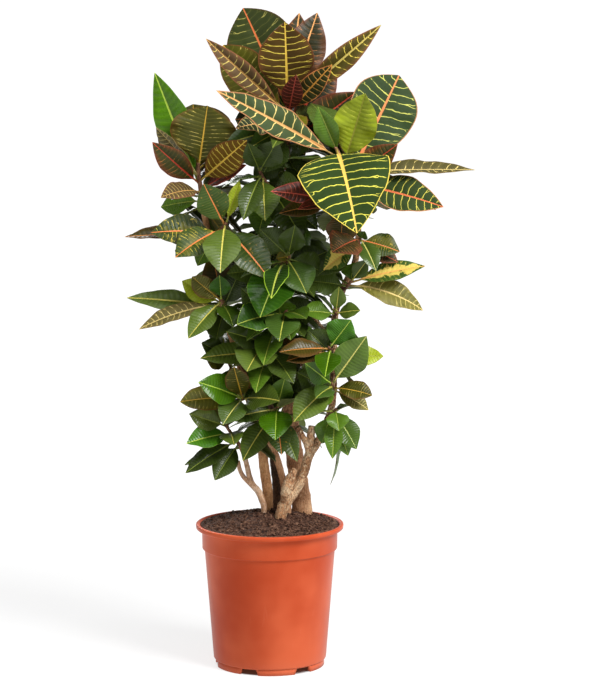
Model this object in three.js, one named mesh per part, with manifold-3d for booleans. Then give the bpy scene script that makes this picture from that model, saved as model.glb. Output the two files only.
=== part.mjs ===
// A potted croton: a plastic nursery pot filled with soil, six woody stems, and leafy shoots on their ends
// and sides. Millimetres, +Z up. The origin is the middle of the circle that the pot's feet stand in, on the
// surface below them, and -Y is the plant's front.
import * as THREE from 'three';
import { mergeVertices } from 'three/addons/utils/BufferGeometryUtils.js';
import Module from 'manifold-3d';

const wasm = await Module();
wasm.setup();

// The pot
const RIM_RADIUS = 105;
const POT_HEIGHT = 204;
const RIM_DEPTH = 7;
const MOUTH_RADIUS = 99.7;
const COLLAR_RADIUS = 96.7;
const COLLAR_FOOT_RADIUS = 96;
const COLLAR_FOOT = 169;
const WALL_TOP_RADIUS = 93;
const WALL_FOOT_RADIUS = 80;
const WALL = 2.6;
const FLOOR = 9;
const FLOOR_THICKNESS = 3;
const PAD_RADIUS = 16;
const PAD_SLOPE = 7;
const SKIRT_RADIUS = 77.5;
const SKIRT_WALL = 4;
const FEET = 6;
const NOTCH_WIDTH = 22;
const DRAIN_RADIUS = 5;
const DRAIN_CIRCLE = 62;
const NOTCH_DEPTH = 30;
const FEET_TURN = 9;
const EDGE = 0.6;
const RIM_FACE = 1.5;
const RIM_BEVEL = 1.2;
const STEP = 2;
const POT_SIDES = 28;
const DRAIN_SIDES = 6;

// The soil
const SOIL_RADIUS = 98.5;
const SOIL_EDGE = 203;
const SOIL_RISE = 23;
const FIT = 0.3;

// The leaves
const BLADE = 0.9;
const STALK = 2.6;
const STALK_SHARE = 0.12;
const WIDEST = 0.5;
const WAVE = 0.035;
const WAVES = 2.3;
const LARGE_WIDTH = 70;
const LARGE_STATIONS = [0, STALK_SHARE, 0.27, 0.47, 0.68, 0.87];
const STATIONS = [0, STALK_SHARE, 0.33, 0.58, 0.83];
const SMALL_WIDTH = 47;
const SMALL_STATIONS = [0, STALK_SHARE, 0.4, 0.76];
const EDGE_PHASE = 1.9;
const LEAF_PHASE = 2.4;
const SHOOT_PHASE = 1.3;
const ROOT = 1.3;
const CLEARANCE = 0.35;
const MOST_LEAVES = 16;

// The stems' sides, and the first of the seeds that each shoot draws its smaller leaves from
const SHOOT_SIDES = 4;
const BRANCH_SIDES = 5;
const SEED = 977;
const SEED_STEP = 131;

// The point that the front view was measured from, and its distance to the plane through the pot's axis
const EYE = new THREE.Vector3(43, -4000, 1007);

const rad = THREE.MathUtils.degToRad;

// A point that is seen at (x, z) in the plane through the pot's axis, and lies y behind that plane
function seen(x, z, y) {
  return new THREE.Vector3(x, 0, z).sub(EYE).multiplyScalar((y - EYE.y) / -EYE.y).add(EYE);
}

// Solids from geometry, and back

function solidOf(geometry) {
  const bare = new THREE.BufferGeometry();
  bare.setAttribute('position', geometry.getAttribute('position').clone());
  if (geometry.index) bare.setIndex(geometry.index.clone());
  const merged = mergeVertices(bare, 1e-4);
  return new wasm.Manifold(new wasm.Mesh({
    numProp: 3,
    vertProperties: new Float32Array(merged.getAttribute('position').array),
    triVerts: new Uint32Array(merged.index.array),
  }));
}

function geometryOf(solid) {
  const mesh = solid.getMesh();
  const geometry = new THREE.BufferGeometry();
  geometry.setAttribute('position', new THREE.BufferAttribute(new Float32Array(mesh.vertProperties), 3));
  geometry.setIndex(new THREE.BufferAttribute(new Uint32Array(mesh.triVerts), 1));
  geometry.computeVertexNormals();
  return geometry;
}

// The one body that counts: a loose scrap beside it is dropped
function largestBody(solid) {
  const bodies = solid.decompose();
  return bodies.reduce((best, body) => (body.volume() > best.volume() ? body : best));
}

// Triangles from rings of points, closed by a cap or a point at each end
function loft(rings) {
  const positions = [];
  const faces = [];
  const starts = [];
  for (const ring of rings) {
    starts.push(positions.length / 3);
    for (const point of ring) positions.push(point.x, point.y, point.z);
  }
  const cap = (start, count, flip) => {
    for (let i = 1; i + 1 < count; i += 1) {
      faces.push(start, start + (flip ? i + 1 : i), start + (flip ? i : i + 1));
    }
  };
  for (let r = 0; r + 1 < rings.length; r += 1) {
    const count = rings[r].length;
    for (let i = 0; i < count; i += 1) {
      const j = (i + 1) % count;
      const a = starts[r] + i;
      const b = starts[r] + j;
      const c = starts[r + 1] + i;
      const d = starts[r + 1] + j;
      faces.push(a, b, d, a, d, c);
    }
  }
  cap(starts[0], rings[0].length, true);
  cap(starts.at(-1), rings.at(-1).length, false);
  const geometry = new THREE.BufferGeometry();
  geometry.setAttribute('position', new THREE.BufferAttribute(new Float32Array(positions), 3));
  geometry.setIndex(faces);
  return geometry;
}

// A limb: a round, tapering stem along a line of points, each with its own radius
function limb(points, radii, sides, extra = 0) {
  const rings = [];
  let side = new THREE.Vector3(1, 0, 0);
  points.forEach((point, i) => {
    const before = points[Math.max(i - 1, 0)];
    const after = points[Math.min(i + 1, points.length - 1)];
    const along = after.clone().sub(before).normalize();
    side = side.clone().addScaledVector(along, -side.dot(along)).normalize();
    const across = along.clone().cross(side);
    const end = i === 0 ? -extra : i === points.length - 1 ? extra : 0;
    const ring = [];
    for (let k = 0; k < sides; k += 1) {
      const turn = (2 * Math.PI * k) / sides;
      ring.push(point.clone()
        .addScaledVector(side, (radii[i] + extra) * Math.cos(turn))
        .addScaledVector(across, (radii[i] + extra) * Math.sin(turn))
        .addScaledVector(along, end));
    }
    rings.push(ring);
  });
  return loft(rings);
}

// The pot, with its feet, drain holes and rolled rim. The middle of its floor dips to a round pad that stands
// on the surface, so that the wet soil can't bend the floor.

function ringOf(profile, sides) {
  const points = profile.map(([r, z]) => new THREE.Vector2(r, z));
  return new THREE.LatheGeometry(points, sides).rotateX(Math.PI / 2);
}

const INNER_FOOT_RADIUS = WALL_FOOT_RADIUS - WALL;
const INNER_TOP_RADIUS = COLLAR_RADIUS - WALL;
const FLOOR_TOP = FLOOR + FLOOR_THICKNESS;
const INNER_TOP = POT_HEIGHT - RIM_DEPTH - STEP;
const INNER_STEP = COLLAR_FOOT - 2 * STEP;

function makePot() {
  const profile = [
    [0, 0], [PAD_RADIUS, 0], [PAD_RADIUS + PAD_SLOPE, FLOOR],
    [SKIRT_RADIUS - SKIRT_WALL, FLOOR], [SKIRT_RADIUS - SKIRT_WALL, 0], [SKIRT_RADIUS, 0],
    [SKIRT_RADIUS + EDGE, FLOOR], [WALL_FOOT_RADIUS, FLOOR + 1], [WALL_TOP_RADIUS, COLLAR_FOOT - STEP],
    [COLLAR_FOOT_RADIUS, COLLAR_FOOT], [COLLAR_RADIUS, POT_HEIGHT - RIM_DEPTH],
    [RIM_RADIUS, POT_HEIGHT - RIM_DEPTH], [RIM_RADIUS, POT_HEIGHT - RIM_FACE],
    [RIM_RADIUS - RIM_BEVEL, POT_HEIGHT], [MOUTH_RADIUS, POT_HEIGHT], [INNER_TOP_RADIUS, INNER_TOP],
    [WALL_TOP_RADIUS - WALL, INNER_STEP], [INNER_FOOT_RADIUS, FLOOR_TOP],
    [PAD_RADIUS + PAD_SLOPE, FLOOR_TOP], [PAD_RADIUS, FLOOR_THICKNESS], [0, FLOOR_THICKNESS],
  ];
  let pot = solidOf(ringOf(profile, POT_SIDES));
  for (let k = 0; k < FEET; k += 1) {
    const turn = rad(-90 + FEET_TURN + (360 / FEET) * (k + 0.5));
    const notch = new THREE.BoxGeometry(NOTCH_DEPTH, NOTCH_WIDTH, FLOOR - EDGE)
      .translate(SKIRT_RADIUS - SKIRT_WALL / 2, 0, (FLOOR - EDGE) / 2 - EDGE)
      .rotateZ(turn);
    const drain = new THREE.CylinderGeometry(DRAIN_RADIUS, DRAIN_RADIUS, FLOOR_THICKNESS + 2, DRAIN_SIDES)
      .rotateX(Math.PI / 2)
      .translate(DRAIN_CIRCLE, 0, FLOOR + FLOOR_THICKNESS / 2)
      .rotateZ(turn);
    pot = pot.subtract(solidOf(notch)).subtract(solidOf(drain));
  }
  return pot;
}

// The soil fills the pot, higher in the middle, and stands clear of the wall by the fit
function makeSoil() {
  const profile = [
    [0, FLOOR_THICKNESS + FIT], [PAD_RADIUS - FIT, FLOOR_THICKNESS + FIT],
    [PAD_RADIUS + PAD_SLOPE - FIT, FLOOR_TOP + FIT], [INNER_FOOT_RADIUS - FIT, FLOOR_TOP + FIT],
    [WALL_TOP_RADIUS - WALL - FIT, INNER_STEP], [INNER_TOP_RADIUS - 2 * FIT, INNER_TOP - FIT],
    [SOIL_RADIUS, SOIL_EDGE], [0, SOIL_EDGE + SOIL_RISE],
  ];
  return solidOf(ringOf(profile, POT_SIDES));
}

// The woody stems. Each row is a place seen from the front, how far behind the pot's axis it lies, and the
// radius there. A branch starts inside the stem that it grows on.
const WOOD = [
  {
    name: 'stem_rear',
    color: 0x7d5f48,
    sides: 10,
    stem: [
      [46, 165, 34, 13], [46, 214, 35, 14.5], [43, 250, 36, 13.6], [37, 290, 38, 13], [32, 330, 38, 11.6],
      [27, 400, 36, 10], [24, 480, 34, 9], [22, 560, 30, 8], [24, 640, 24, 6.8], [25, 700, 20, 6],
    ],
    branches: [],
  },
  {
    name: 'stem_left',
    color: 0x9a7458,
    sides: 7,
    stem: [
      [-8, 170, -12, 4.2], [-8, 222, -12, 4.2], [-11, 236, -12, 4.4], [-16, 249, -12, 4.7], [-26, 262, -13, 4.3],
      [-32, 285, -14, 3.6], [-36, 304, -15, 3.4],
    ],
    branches: [
      [[-24, 257, -13, 3.6], [-36, 269, -15, 3.2], [-42, 280, -16, 3], [-45, 293, -17, 3]],
    ],
  },
  {
    name: 'stem_centre',
    color: 0x8a6549,
    sides: 8,
    stem: [
      [-1, 168, 5, 6.6], [-2, 222, 5, 7], [-3, 250, 5, 7.2], [-8, 285, 6, 7], [-11, 318, 8, 6.8],
      [-20, 355, 7, 6.4], [-33, 398, 4, 6], [-46, 450, 0, 5.6], [-62, 502, -3, 5.4], [-72, 560, -1, 4.8],
      [-86, 620, 4, 4.4], [-93, 655, 5, 4.2],
    ],
    branches: [
      [[-32, 396, 4, 4.2], [-45, 410, -2, 3.8], [-52, 424, -6, 3.4]],
    ],
  },
  {
    name: 'stem_dark',
    color: 0x4d382b,
    sides: 7,
    stem: [
      [11, 170, 22, 6.6], [11, 228, 21, 6.8], [10, 262, 22, 6.4], [5, 300, 23, 5.4], [2, 360, 21, 4.8],
      [4, 430, 14, 4.6], [8, 500, 4, 4.2], [11, 545, -5, 3.8],
    ],
    branches: [],
  },
  {
    name: 'stem_inner',
    color: 0x8f6c50,
    sides: 6,
    stem: [
      [27, 168, 4, 5.2], [25, 226, 4, 5.4], [20, 260, 3, 5], [16, 277, 2, 4.8], [9, 300, 2, 5],
      [-1, 324, -2, 5], [-3, 345, -7, 4.6],
    ],
    branches: [],
  },
  {
    name: 'stem_front',
    color: 0xa58064,
    sides: 8,
    stem: [
      [12, 165, -28, 7], [15, 212, -28, 7.8], [24, 235, -28, 9], [40, 258, -28, 7.6], [50, 281, -28, 6.4],
      [56, 302, -28, 6.6], [69, 322, -27, 5.6], [80, 348, -26, 5], [89, 378, -25, 4.8], [91, 430, -25, 4.6],
      [92, 498, -25, 4.6], [104, 540, -27, 4.8], [118, 570, -31, 4.4], [124, 602, -34, 4.2],
      [125, 648, -38, 4],
    ],
    branches: [
      [[23, 232, -29, 7], [24, 250, -36, 8.2], [29, 267, -38, 7.4], [36, 282, -37, 3.4]],
      [[56, 300, -28, 4.6], [52, 318, -33, 4.4], [39, 342, -38, 4]],
      [[58, 306, -28, 5.4], [58, 326, -31, 5.6], [60, 343, -32, 5.4]],
      [[91, 462, -25, 2.6], [76, 482, -18, 2.4], [61, 499, -12, 1.8]],
    ],
  },
];

// The leafy shoots. The stem's rows are as for the wood, and the first lies inside the woody stem that carries
// it. Each leaf's row: its place along the stem from 0 to 1; where its tip is seen, sideways and upwards, and
// how far behind the pot's axis the tip lies; the blade's width; the way its upper face looks, as degrees to
// the right of the front and degrees upwards; how far the midrib bends over its length and how far the two
// halves fold up about it, in degrees.
const SHOOTS = [
  {
    name: 'shoot_top',
    color: 0x4a4d1d,
    stem: [[25, 690, 20, 4.4], [25, 745, 18, 4.2], [26, 800, 14, 3.4], [28, 836, 10, 2.2]],
    leaves: [
      [0.74, 22, 912, -38, 76, 0, 12, 4, 10],
      [0.70, -36, 931, 62, 96, -14, 6, -12, 6],
      [0.74, 156, 908, -22, 38, 24, 14, 22, 30],
      [0.66, -88, 889, -30, 36, -24, 18, 24, 30],
      [0.80, 67, 925, 48, 58, 8, 4, 8, 14],
      [0.56, -64, 880, 22, 64, -16, 10, 10, 10],
      [0.62, 38, 839, -50, 30, 0, 10, -10, 16],
      [0.66, 88, 853, -34, 32, 12, 14, 6, 18],
      [0.55, -47, 764, -52, 42, -14, 26, 34, 14],
      [0.74, 42, 924, 84, 50, 0, 0, 8, 10],
      [0.52, 95, 852, 40, 52, 20, 8, 8, 12],
      [0.36, 122, 815, 26, 50, 14, 14, 12, 16],
      [0.42, -8, 700, -48, 42, -8, 12, 40, 12],
      [0.30, -40, 728, -20, 38, -24, 20, 30, 12],
      [0.24, 34, 706, -36, 44, 6, 14, 34, 12],
      [0.34, 62, 742, -26, 44, 16, 14, 24, 12],
    ],
    more: { count: 4, from: 0.3, reach: 104, width: 52, low: -10, high: 66, toward: 188, spread: 170 },
  },
  {
    name: 'shoot_right',
    color: 0x2f4a1f,
    stem: [[125, 642, -38, 3.6], [118, 680, -42, 3.6], [104, 714, -50, 3.2], [92, 739, -58, 2.2]],
    leaves: [
      [0.96, 123, 617, -178, 124, -4, 44, 62, 8],
      [0.52, 181, 838, 16, 92, 8, 10, 6, 8],
      [0.72, 134, 813, -84, 62, -4, 14, -14, 16],
      [0.80, -74, 817, -96, 46, -12, 30, 12, 22],
      [0.44, 244, 654, -84, 54, 12, 26, 24, 12],
      [0.60, 288, 706, -60, 46, 8, 68, 4, 20],
      [0.86, 68, 795, -72, 36, -26, 10, 8, 18],
      [0.30, 234, 650, -48, 40, 12, 68, 14, 14],
      [0.50, 178, 745, -22, 40, 18, 14, 6, 20],
    ],
    more: { count: 5, from: 0.12, reach: 98, width: 50, low: -20, high: 46, toward: 205, spread: 120 },
  },
  {
    name: 'shoot_left',
    color: 0x56561f,
    stem: [[-93, 648, 5, 3.6], [-96, 680, 2, 3.4], [-99, 702, 0, 3], [-99, 716, -2, 2.2]],
    leaves: [
      [0.86, -86, 796, -8, 92, 2, 8, -8, 12],
      [0.62, -31, 748, -54, 46, 10, 8, 8, 16],
      [0.72, -106, 798, 46, 104, -8, 4, 6, 8],
      [0.46, -158, 843, 52, 52, -16, 2, 4, 12],
      [0.70, -158, 766, -26, 42, -52, -14, -8, 20],
      [0.56, -161, 748, 2, 40, -26, 12, 10, 16],
      [0.40, -152, 667, -52, 36, -14, 36, 40, 16],
      [0.42, -32, 712, -40, 30, 14, 44, 18, 24],
      [0.22, -152, 654, 30, 36, -20, 30, 24, 12],
    ],
    more: { count: 4, from: 0.1, reach: 84, width: 46, low: -14, high: 52, toward: 155, spread: 120 },
  },
  {
    name: 'shoot_left_middle',
    color: 0x2c4a22,
    stem: [[-82, 602, 3, 3.2], [-76, 612, -16, 3], [-66, 624, -36, 2.6], [-60, 632, -48, 2]],
    leaves: [
      [0.90, -92, 687, -66, 46, -8, 8, 14, 12],
      [0.92, -69, 561, -112, 52, -4, 32, 44, 12],
      [0.55, -166, 618, -50, 50, -10, 30, 26, 14],
      [0.70, -132, 583, -84, 50, -10, 34, 34, 12],
      [0.80, 0, 552, -88, 54, 8, 32, 36, 12],
      [0.30, -203, 612, -20, 40, -14, 60, 14, 24],
      [0.30, -101, 571, -26, 30, -14, 26, 30, 14],
      [0.98, -42, 690, -56, 20, 8, 14, 0, 24],
    ],
  },
  {
    name: 'shoot_crown_inner',
    color: 0x1d3320,
    stem: [[24, 650, 23, 3.6], [10, 668, 2, 3.2], [-6, 690, -14, 2.8], [-14, 706, -22, 2]],
    leaves: [
      [0.60, 46, 608, -66, 50, 8, 30, 32, 12],
      [0.85, -6, 635, -62, 44, 0, 20, 40, 12],
      [0.90, -36, 638, -46, 34, -10, 20, 40, 14],
      [0.55, 42, 688, -58, 38, 12, 20, 18, 12],
      [0.98, -30, 744, -58, 30, -8, 12, 8, 18],
      [0.40, 68, 622, -36, 42, 16, 28, 24, 12],
      [0.98, 12, 748, -44, 40, 6, 8, 6, 14],
      [0.30, -52, 660, -14, 42, -10, 20, 24, 12],
    ],
    more: { count: 4, from: 0.15, reach: 74, width: 44, low: -66, high: -6, toward: -4, spread: 150 },
  },
  {
    name: 'shoot_right_inner',
    color: 0x5a2a1e,
    stem: [[125, 634, -36, 3], [112, 646, -44, 2.8], [96, 658, -52, 2.4], [86, 664, -56, 2]],
    leaves: [
      [0.92, 2, 676, -84, 34, -8, 40, 18, 18],
      [0.80, 40, 652, -100, 24, -6, 42, 22, 18],
      [0.85, 14, 645, -66, 32, -8, 36, 18, 14],
      [0.98, 74, 702, -72, 32, 0, 16, 8, 18],
      [0.60, 100, 600, -50, 44, 4, 16, 24, 12],
    ],
  },
  {
    name: 'shoot_node',
    color: 0x2f4b20,
    stem: [[-62, 500, -3, 3.2], [-64, 508, -18, 3], [-67, 517, -34, 2.6], [-68, 524, -42, 2]],
    leaves: [
      [0.55, -201, 526, -16, 34, -8, 40, 14, 10],
      [0.75, -183, 483, -44, 34, -12, 56, 30, 16],
      [0.98, -70, 558, -62, 30, -4, 8, -6, 16],
      [0.80, -123, 550, -30, 34, -14, 16, 8, 16],
      [0.92, -109, 556, -50, 30, -16, 14, 8, 16],
      [0.90, -114, 470, -68, 36, -10, 30, 32, 14],
      [0.45, -80, 594, 10, 40, -8, 6, 6, 14],
      [0.55, -40, 570, 14, 40, 6, 10, 4, 14],
      [0.30, -86, 474, -26, 30, -8, 34, 28, 14],
    ],
    more: { count: 2, from: 0.1, reach: 62, width: 40, low: -50, high: -20, toward: 30, spread: 90 },
  },
  {
    name: 'shoot_centre_upper',
    color: 0x2c5427,
    stem: [[10, 536, -2, 3], [15, 556, -22, 3], [22, 574, -42, 2.6], [27, 586, -54, 2]],
    leaves: [
      [0.70, -13, 498, -112, 66, -6, 34, 42, 12],
      [0.90, 52, 532, -98, 50, 8, 30, 34, 12],
      [0.80, 3, 530, -124, 34, -12, 26, 34, 16],
      [0.92, 76, 560, -62, 42, 14, 30, 24, 14],
      [0.96, 10, 582, -76, 16, -4, 14, 6, 26],
      [0.60, -60, 560, -46, 42, -8, 30, 20, 12],
      [0.98, 36, 630, -70, 38, 4, 10, 6, 16],
      [0.50, 82, 592, -30, 42, 16, 26, 20, 14],
      [0.98, -14, 622, -60, 42, -6, 10, 6, 14],
    ],
    more: { count: 4, from: 0.1, reach: 68, width: 42, low: -66, high: -10, toward: 0, spread: 170 },
  },
  {
    name: 'shoot_centre',
    color: 0x21452b,
    stem: [[8, 474, 8, 3.2], [13, 490, -20, 3.2], [20, 500, -42, 2.8], [24, 508, -56, 2]],
    leaves: [
      [0.86, -46, 488, -112, 54, -6, 38, 26, 10],
      [0.92, 14, 464, -126, 48, 0, 38, 36, 14],
      [0.80, 30, 466, -92, 36, 6, 30, 38, 14],
      [0.60, 12, 528, -58, 46, 0, 14, 10, 12],
      [0.94, 52, 498, -88, 38, 20, 30, 26, 14],
      [0.50, -40, 540, -40, 46, -8, 14, 10, 12],
      [0.40, 62, 520, -24, 46, 10, 20, 18, 12],
    ],
    more: { count: 4, from: 0.1, reach: 66, width: 42, low: -66, high: -10, toward: 0, spread: 190 },
  },
  {
    name: 'shoot_centre_lower',
    color: 0x1f4529,
    stem: [[4, 424, 14, 3.2], [0, 440, -12, 3.2], [-4, 454, -34, 2.8], [-6, 462, -46, 2]],
    leaves: [
      [0.90, -32, 421, -112, 60, -6, 38, 40, 12],
      [0.80, 34, 404, -92, 40, 8, 32, 36, 12],
      [0.60, -98, 440, -44, 38, -12, 40, 24, 14],
      [0.55, 6, 398, -60, 44, 0, 32, 34, 12],
      [0.98, -60, 480, -74, 36, -14, 24, 14, 14],
      [0.40, -12, 396, -30, 42, -6, 26, 32, 12],
      [0.50, 52, 448, -40, 46, 10, 26, 20, 12],
    ],
    more: { count: 3, from: 0.1, reach: 64, width: 40, low: -66, high: -10, toward: 4, spread: 190 },
  },
  {
    name: 'shoot_right_middle',
    color: 0x44491f,
    stem: [[123, 590, -33, 2.8], [124, 598, -46, 2.6], [126, 606, -58, 2.2], [128, 611, -66, 1.8]],
    leaves: [
      [0.90, 88, 590, -108, 52, -12, 30, 34, 12],
      [0.85, 183, 591, -74, 38, 14, 34, 22, 14],
      [0.92, 150, 564, -108, 30, 10, 32, 36, 16],
      [0.50, 181, 576, -62, 32, 12, 40, 24, 14],
      [0.90, 134, 620, -78, 18, 6, 16, 0, 24],
      [0.50, 76, 565, -62, 34, -14, 32, 26, 14],
      [0.30, 68, 561, -34, 36, -12, 34, 22, 14],
    ],
  },
  {
    name: 'shoot_right_fork',
    color: 0x6b6a26,
    stem: [[104, 538, -27, 2.8], [107, 540, -38, 2.6], [112, 546, -50, 2.2], [116, 550, -58, 1.8]],
    leaves: [
      [0.85, 219, 571, -64, 34, 8, 42, 16, 14],
      [0.60, 216, 508, -54, 40, 14, 36, 62, 14],
      [0.92, 138, 580, -66, 24, 4, 16, 4, 20],
      [0.50, 55, 548, -64, 42, -12, 34, 22, 12],
    ],
    more: { count: 4, from: 0.12, reach: 80, width: 42, low: -16, high: 32, toward: 200, spread: 120 },
  },
  {
    name: 'shoot_right_twig',
    color: 0x3a6030,
    stem: [[92, 494, -25, 2.6], [92, 499, -38, 2.4], [93, 503, -48, 2.2], [94, 506, -54, 1.8]],
    leaves: [
      [0.80, 46, 507, -68, 32, -8, 36, 22, 14],
      [0.85, 128, 508, -68, 26, 12, 32, 22, 14],
      [0.95, 98, 542, -68, 24, 6, 14, 6, 20],
    ],
  },
  {
    name: 'shoot_right_lower',
    color: 0x3c6a2d,
    stem: [[91, 432, -25, 2.8], [90, 440, -38, 2.6], [87, 450, -52, 2.4], [84, 456, -62, 1.8]],
    leaves: [
      [0.95, 115, 495, -72, 46, 6, 14, 8, 12],
      [0.90, 14, 449, -96, 34, -6, 42, 20, 14],
      [0.70, 24, 434, -104, 34, -8, 40, 24, 14],
      [0.45, 161, 443, -44, 32, 8, 26, 10, 14],
      [0.80, 78, 420, -98, 36, 0, 32, 32, 14],
      [0.60, 54, 480, -50, 38, -8, 20, 12, 14],
    ],
    more: { count: 4, from: 0.1, reach: 76, width: 42, low: -20, high: 30, toward: 205, spread: 110 },
  },
  {
    name: 'shoot_right_low',
    color: 0x37602b,
    stem: [[90, 388, -25, 2.8], [90, 394, -40, 2.6], [89, 400, -54, 2.2], [88, 405, -62, 1.8]],
    leaves: [
      [0.92, 137, 472, -82, 48, 6, 12, 8, 12],
      [0.90, 50, 433, -94, 32, -8, 22, 16, 14],
      [0.85, 34, 349, -106, 46, -8, 34, 32, 12],
      [0.70, 65, 385, -98, 28, -4, 30, 26, 14],
      [0.65, 145, 387, -72, 32, 12, 40, 28, 14],
      [0.40, 38, 420, -62, 42, -8, 16, 12, 12],
      [0.50, 140, 366, -52, 30, 12, 38, 32, 14],
      [0.45, 26, 388, -46, 44, -8, 20, 20, 12],
    ],
  },
  {
    name: 'shoot_right_base',
    color: 0x2d5a28,
    stem: [[83, 358, -26, 2.6], [89, 362, -38, 2.4], [93, 366, -50, 2.2], [94, 368, -56, 1.8]],
    leaves: [
      [0.85, 98, 336, -82, 32, 6, 26, 32, 14],
      [0.60, 123, 310, -54, 36, 12, 26, 32, 14],
      [0.75, 89, 296, -74, 26, 0, 18, 26, 14],
      [0.30, 74, 318, -40, 32, -4, 22, 28, 14],
      [0.45, 111, 303, -34, 30, 8, 20, 28, 14],
      [0.45, 86, 259, -2, 26, 70, 14, 34, 14],
    ],
  },
  {
    name: 'shoot_inner',
    color: 0x2b6a2c,
    stem: [[-3, 340, -6, 3], [2, 354, -20, 2.8], [8, 364, -34, 2.6], [12, 372, -42, 2]],
    leaves: [
      [0.92, 8, 323, -102, 46, -4, 36, 38, 12],
      [0.94, 22, 414, -84, 34, 2, 14, 8, 14],
      [0.80, 17, 302, -72, 36, 2, 26, 34, 14],
      [0.60, -38, 293, -62, 38, -12, 28, 36, 12],
      [0.85, -60, 349, -84, 32, -10, 38, 26, 14],
      [0.70, 39, 292, -64, 30, 8, 24, 32, 14],
      [0.98, 16, 396, -92, 42, 6, 22, 18, 12],
    ],
    more: { count: 3, from: 0.1, reach: 60, width: 42, low: -30, high: 40, toward: 10, spread: 190 },
  },
  {
    name: 'shoot_centre_left',
    color: 0x3b7a30,
    stem: [[-33, 396, 4, 2.8], [-35, 386, -14, 2.6], [-37, 382, -34, 2.4], [-38, 382, -44, 1.8]],
    leaves: [
      [0.92, -101, 406, -84, 44, -8, 28, 24, 12],
      [0.90, -66, 345, -94, 40, -8, 30, 34, 12],
      [0.60, -126, 380, -34, 40, -12, 34, 26, 12],
      [0.85, 14, 384, -78, 44, 4, 30, 24, 12],
      [0.96, -50, 430, -74, 34, -6, 14, 8, 14],
    ],
  },
  {
    name: 'shoot_left_twig',
    color: 0x33441f,
    stem: [[-52, 421, -6, 2.2], [-57, 433, -10, 2.2], [-60, 442, -14, 2], [-62, 447, -18, 1.6]],
    leaves: [
      [0.50, -88, 436, -16, 30, -10, 34, 18, 14],
      [0.85, -96, 462, -34, 32, -10, 28, 18, 14],
    ],
    more: { count: 3, from: 0.15, reach: 66, width: 42, low: -22, high: 30, toward: 160, spread: 120 },
  },
  {
    name: 'shoot_left_low',
    color: 0x34662b,
    stem: [[-36, 300, -15, 2.6], [-44, 318, -20, 2.6], [-55, 334, -28, 2.2], [-63, 345, -34, 1.8]],
    leaves: [
      [0.70, -118, 318, -74, 38, -10, 36, 24, 12],
      [0.96, -114, 361, -52, 34, -14, 20, 12, 14],
      [0.75, -50, 316, -84, 34, -2, 30, 32, 14],
      [0.35, -78, 265, -58, 36, -8, 26, 28, 12],
      [0.45, -119, 278, -46, 32, -12, 34, 24, 14],
      [0.85, -76, 387, -36, 30, -6, 14, 6, 14],
      [0.25, -121, 287, -12, 26, -16, 60, 14, 20],
    ],
    more: { count: 3, from: 0.2, reach: 68, width: 42, low: -32, high: 26, toward: 150, spread: 130 },
  },
  {
    name: 'shoot_rear_high',
    color: 0x24381f,
    stem: [[23, 600, 27, 3.4], [26, 618, 58, 3.2], [28, 640, 86, 2.8], [30, 668, 104, 2]],
    leaves: [],
    more: { count: 8, from: 0.25, reach: 104, width: 56, low: -40, high: 56, toward: 180, spread: 250 },
  },
  {
    name: 'shoot_rear_left',
    color: 0x24381f,
    stem: [[-74, 568, 0, 3.2], [-76, 578, 26, 3], [-76, 592, 50, 2.6], [-74, 610, 66, 2]],
    leaves: [],
    more: { count: 7, from: 0.3, reach: 84, width: 46, low: -30, high: 50, toward: 176, spread: 190 },
  },
  {
    name: 'shoot_rear_middle',
    color: 0x24401f,
    stem: [[24, 500, 33, 3.4], [16, 514, 62, 3.2], [8, 532, 90, 2.8], [4, 554, 106, 2]],
    leaves: [],
    more: { count: 8, from: 0.25, reach: 98, width: 50, low: -40, high: 54, toward: 186, spread: 250 },
  },
  {
    name: 'shoot_rear_right',
    color: 0x24401f,
    stem: [[26, 420, 36, 3.2], [42, 430, 60, 3], [54, 444, 82, 2.6], [60, 462, 94, 2]],
    leaves: [],
    more: { count: 8, from: 0.25, reach: 86, width: 44, low: -40, high: 46, toward: 172, spread: 220 },
  },
  {
    name: 'shoot_rear_low',
    color: 0x24451f,
    stem: [[28, 340, 38, 3.2], [18, 350, 62, 3], [6, 364, 84, 2.6], [0, 382, 96, 2]],
    leaves: [],
    more: { count: 8, from: 0.25, reach: 84, width: 44, low: -40, high: 44, toward: 190, spread: 230 },
  },
];

// Leaves

const UP = new THREE.Vector3(0, 0, 1);

// A unit vector that looks some degrees to the right of the front, and some degrees upwards
function looking(right, upwards) {
  const flat = Math.cos(rad(upwards));
  return new THREE.Vector3(Math.sin(rad(right)) * flat, -Math.cos(rad(right)) * flat, Math.sin(rad(upwards)));
}

// Half the blade's width at a share of its length, as a part of its greatest half width. Wide blades are
// blunter.
function outline(share, width) {
  if (share <= 0 || share >= 1) return 0;
  const reach = share < WIDEST ? 1 - share / WIDEST : (share - WIDEST) / (1 - WIDEST);
  const blunt = THREE.MathUtils.clamp((width - 50) / 50, 0, 1);
  return 1 - reach ** (share < WIDEST ? 2.4 : 2.1 + 0.9 * blunt);
}

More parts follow.
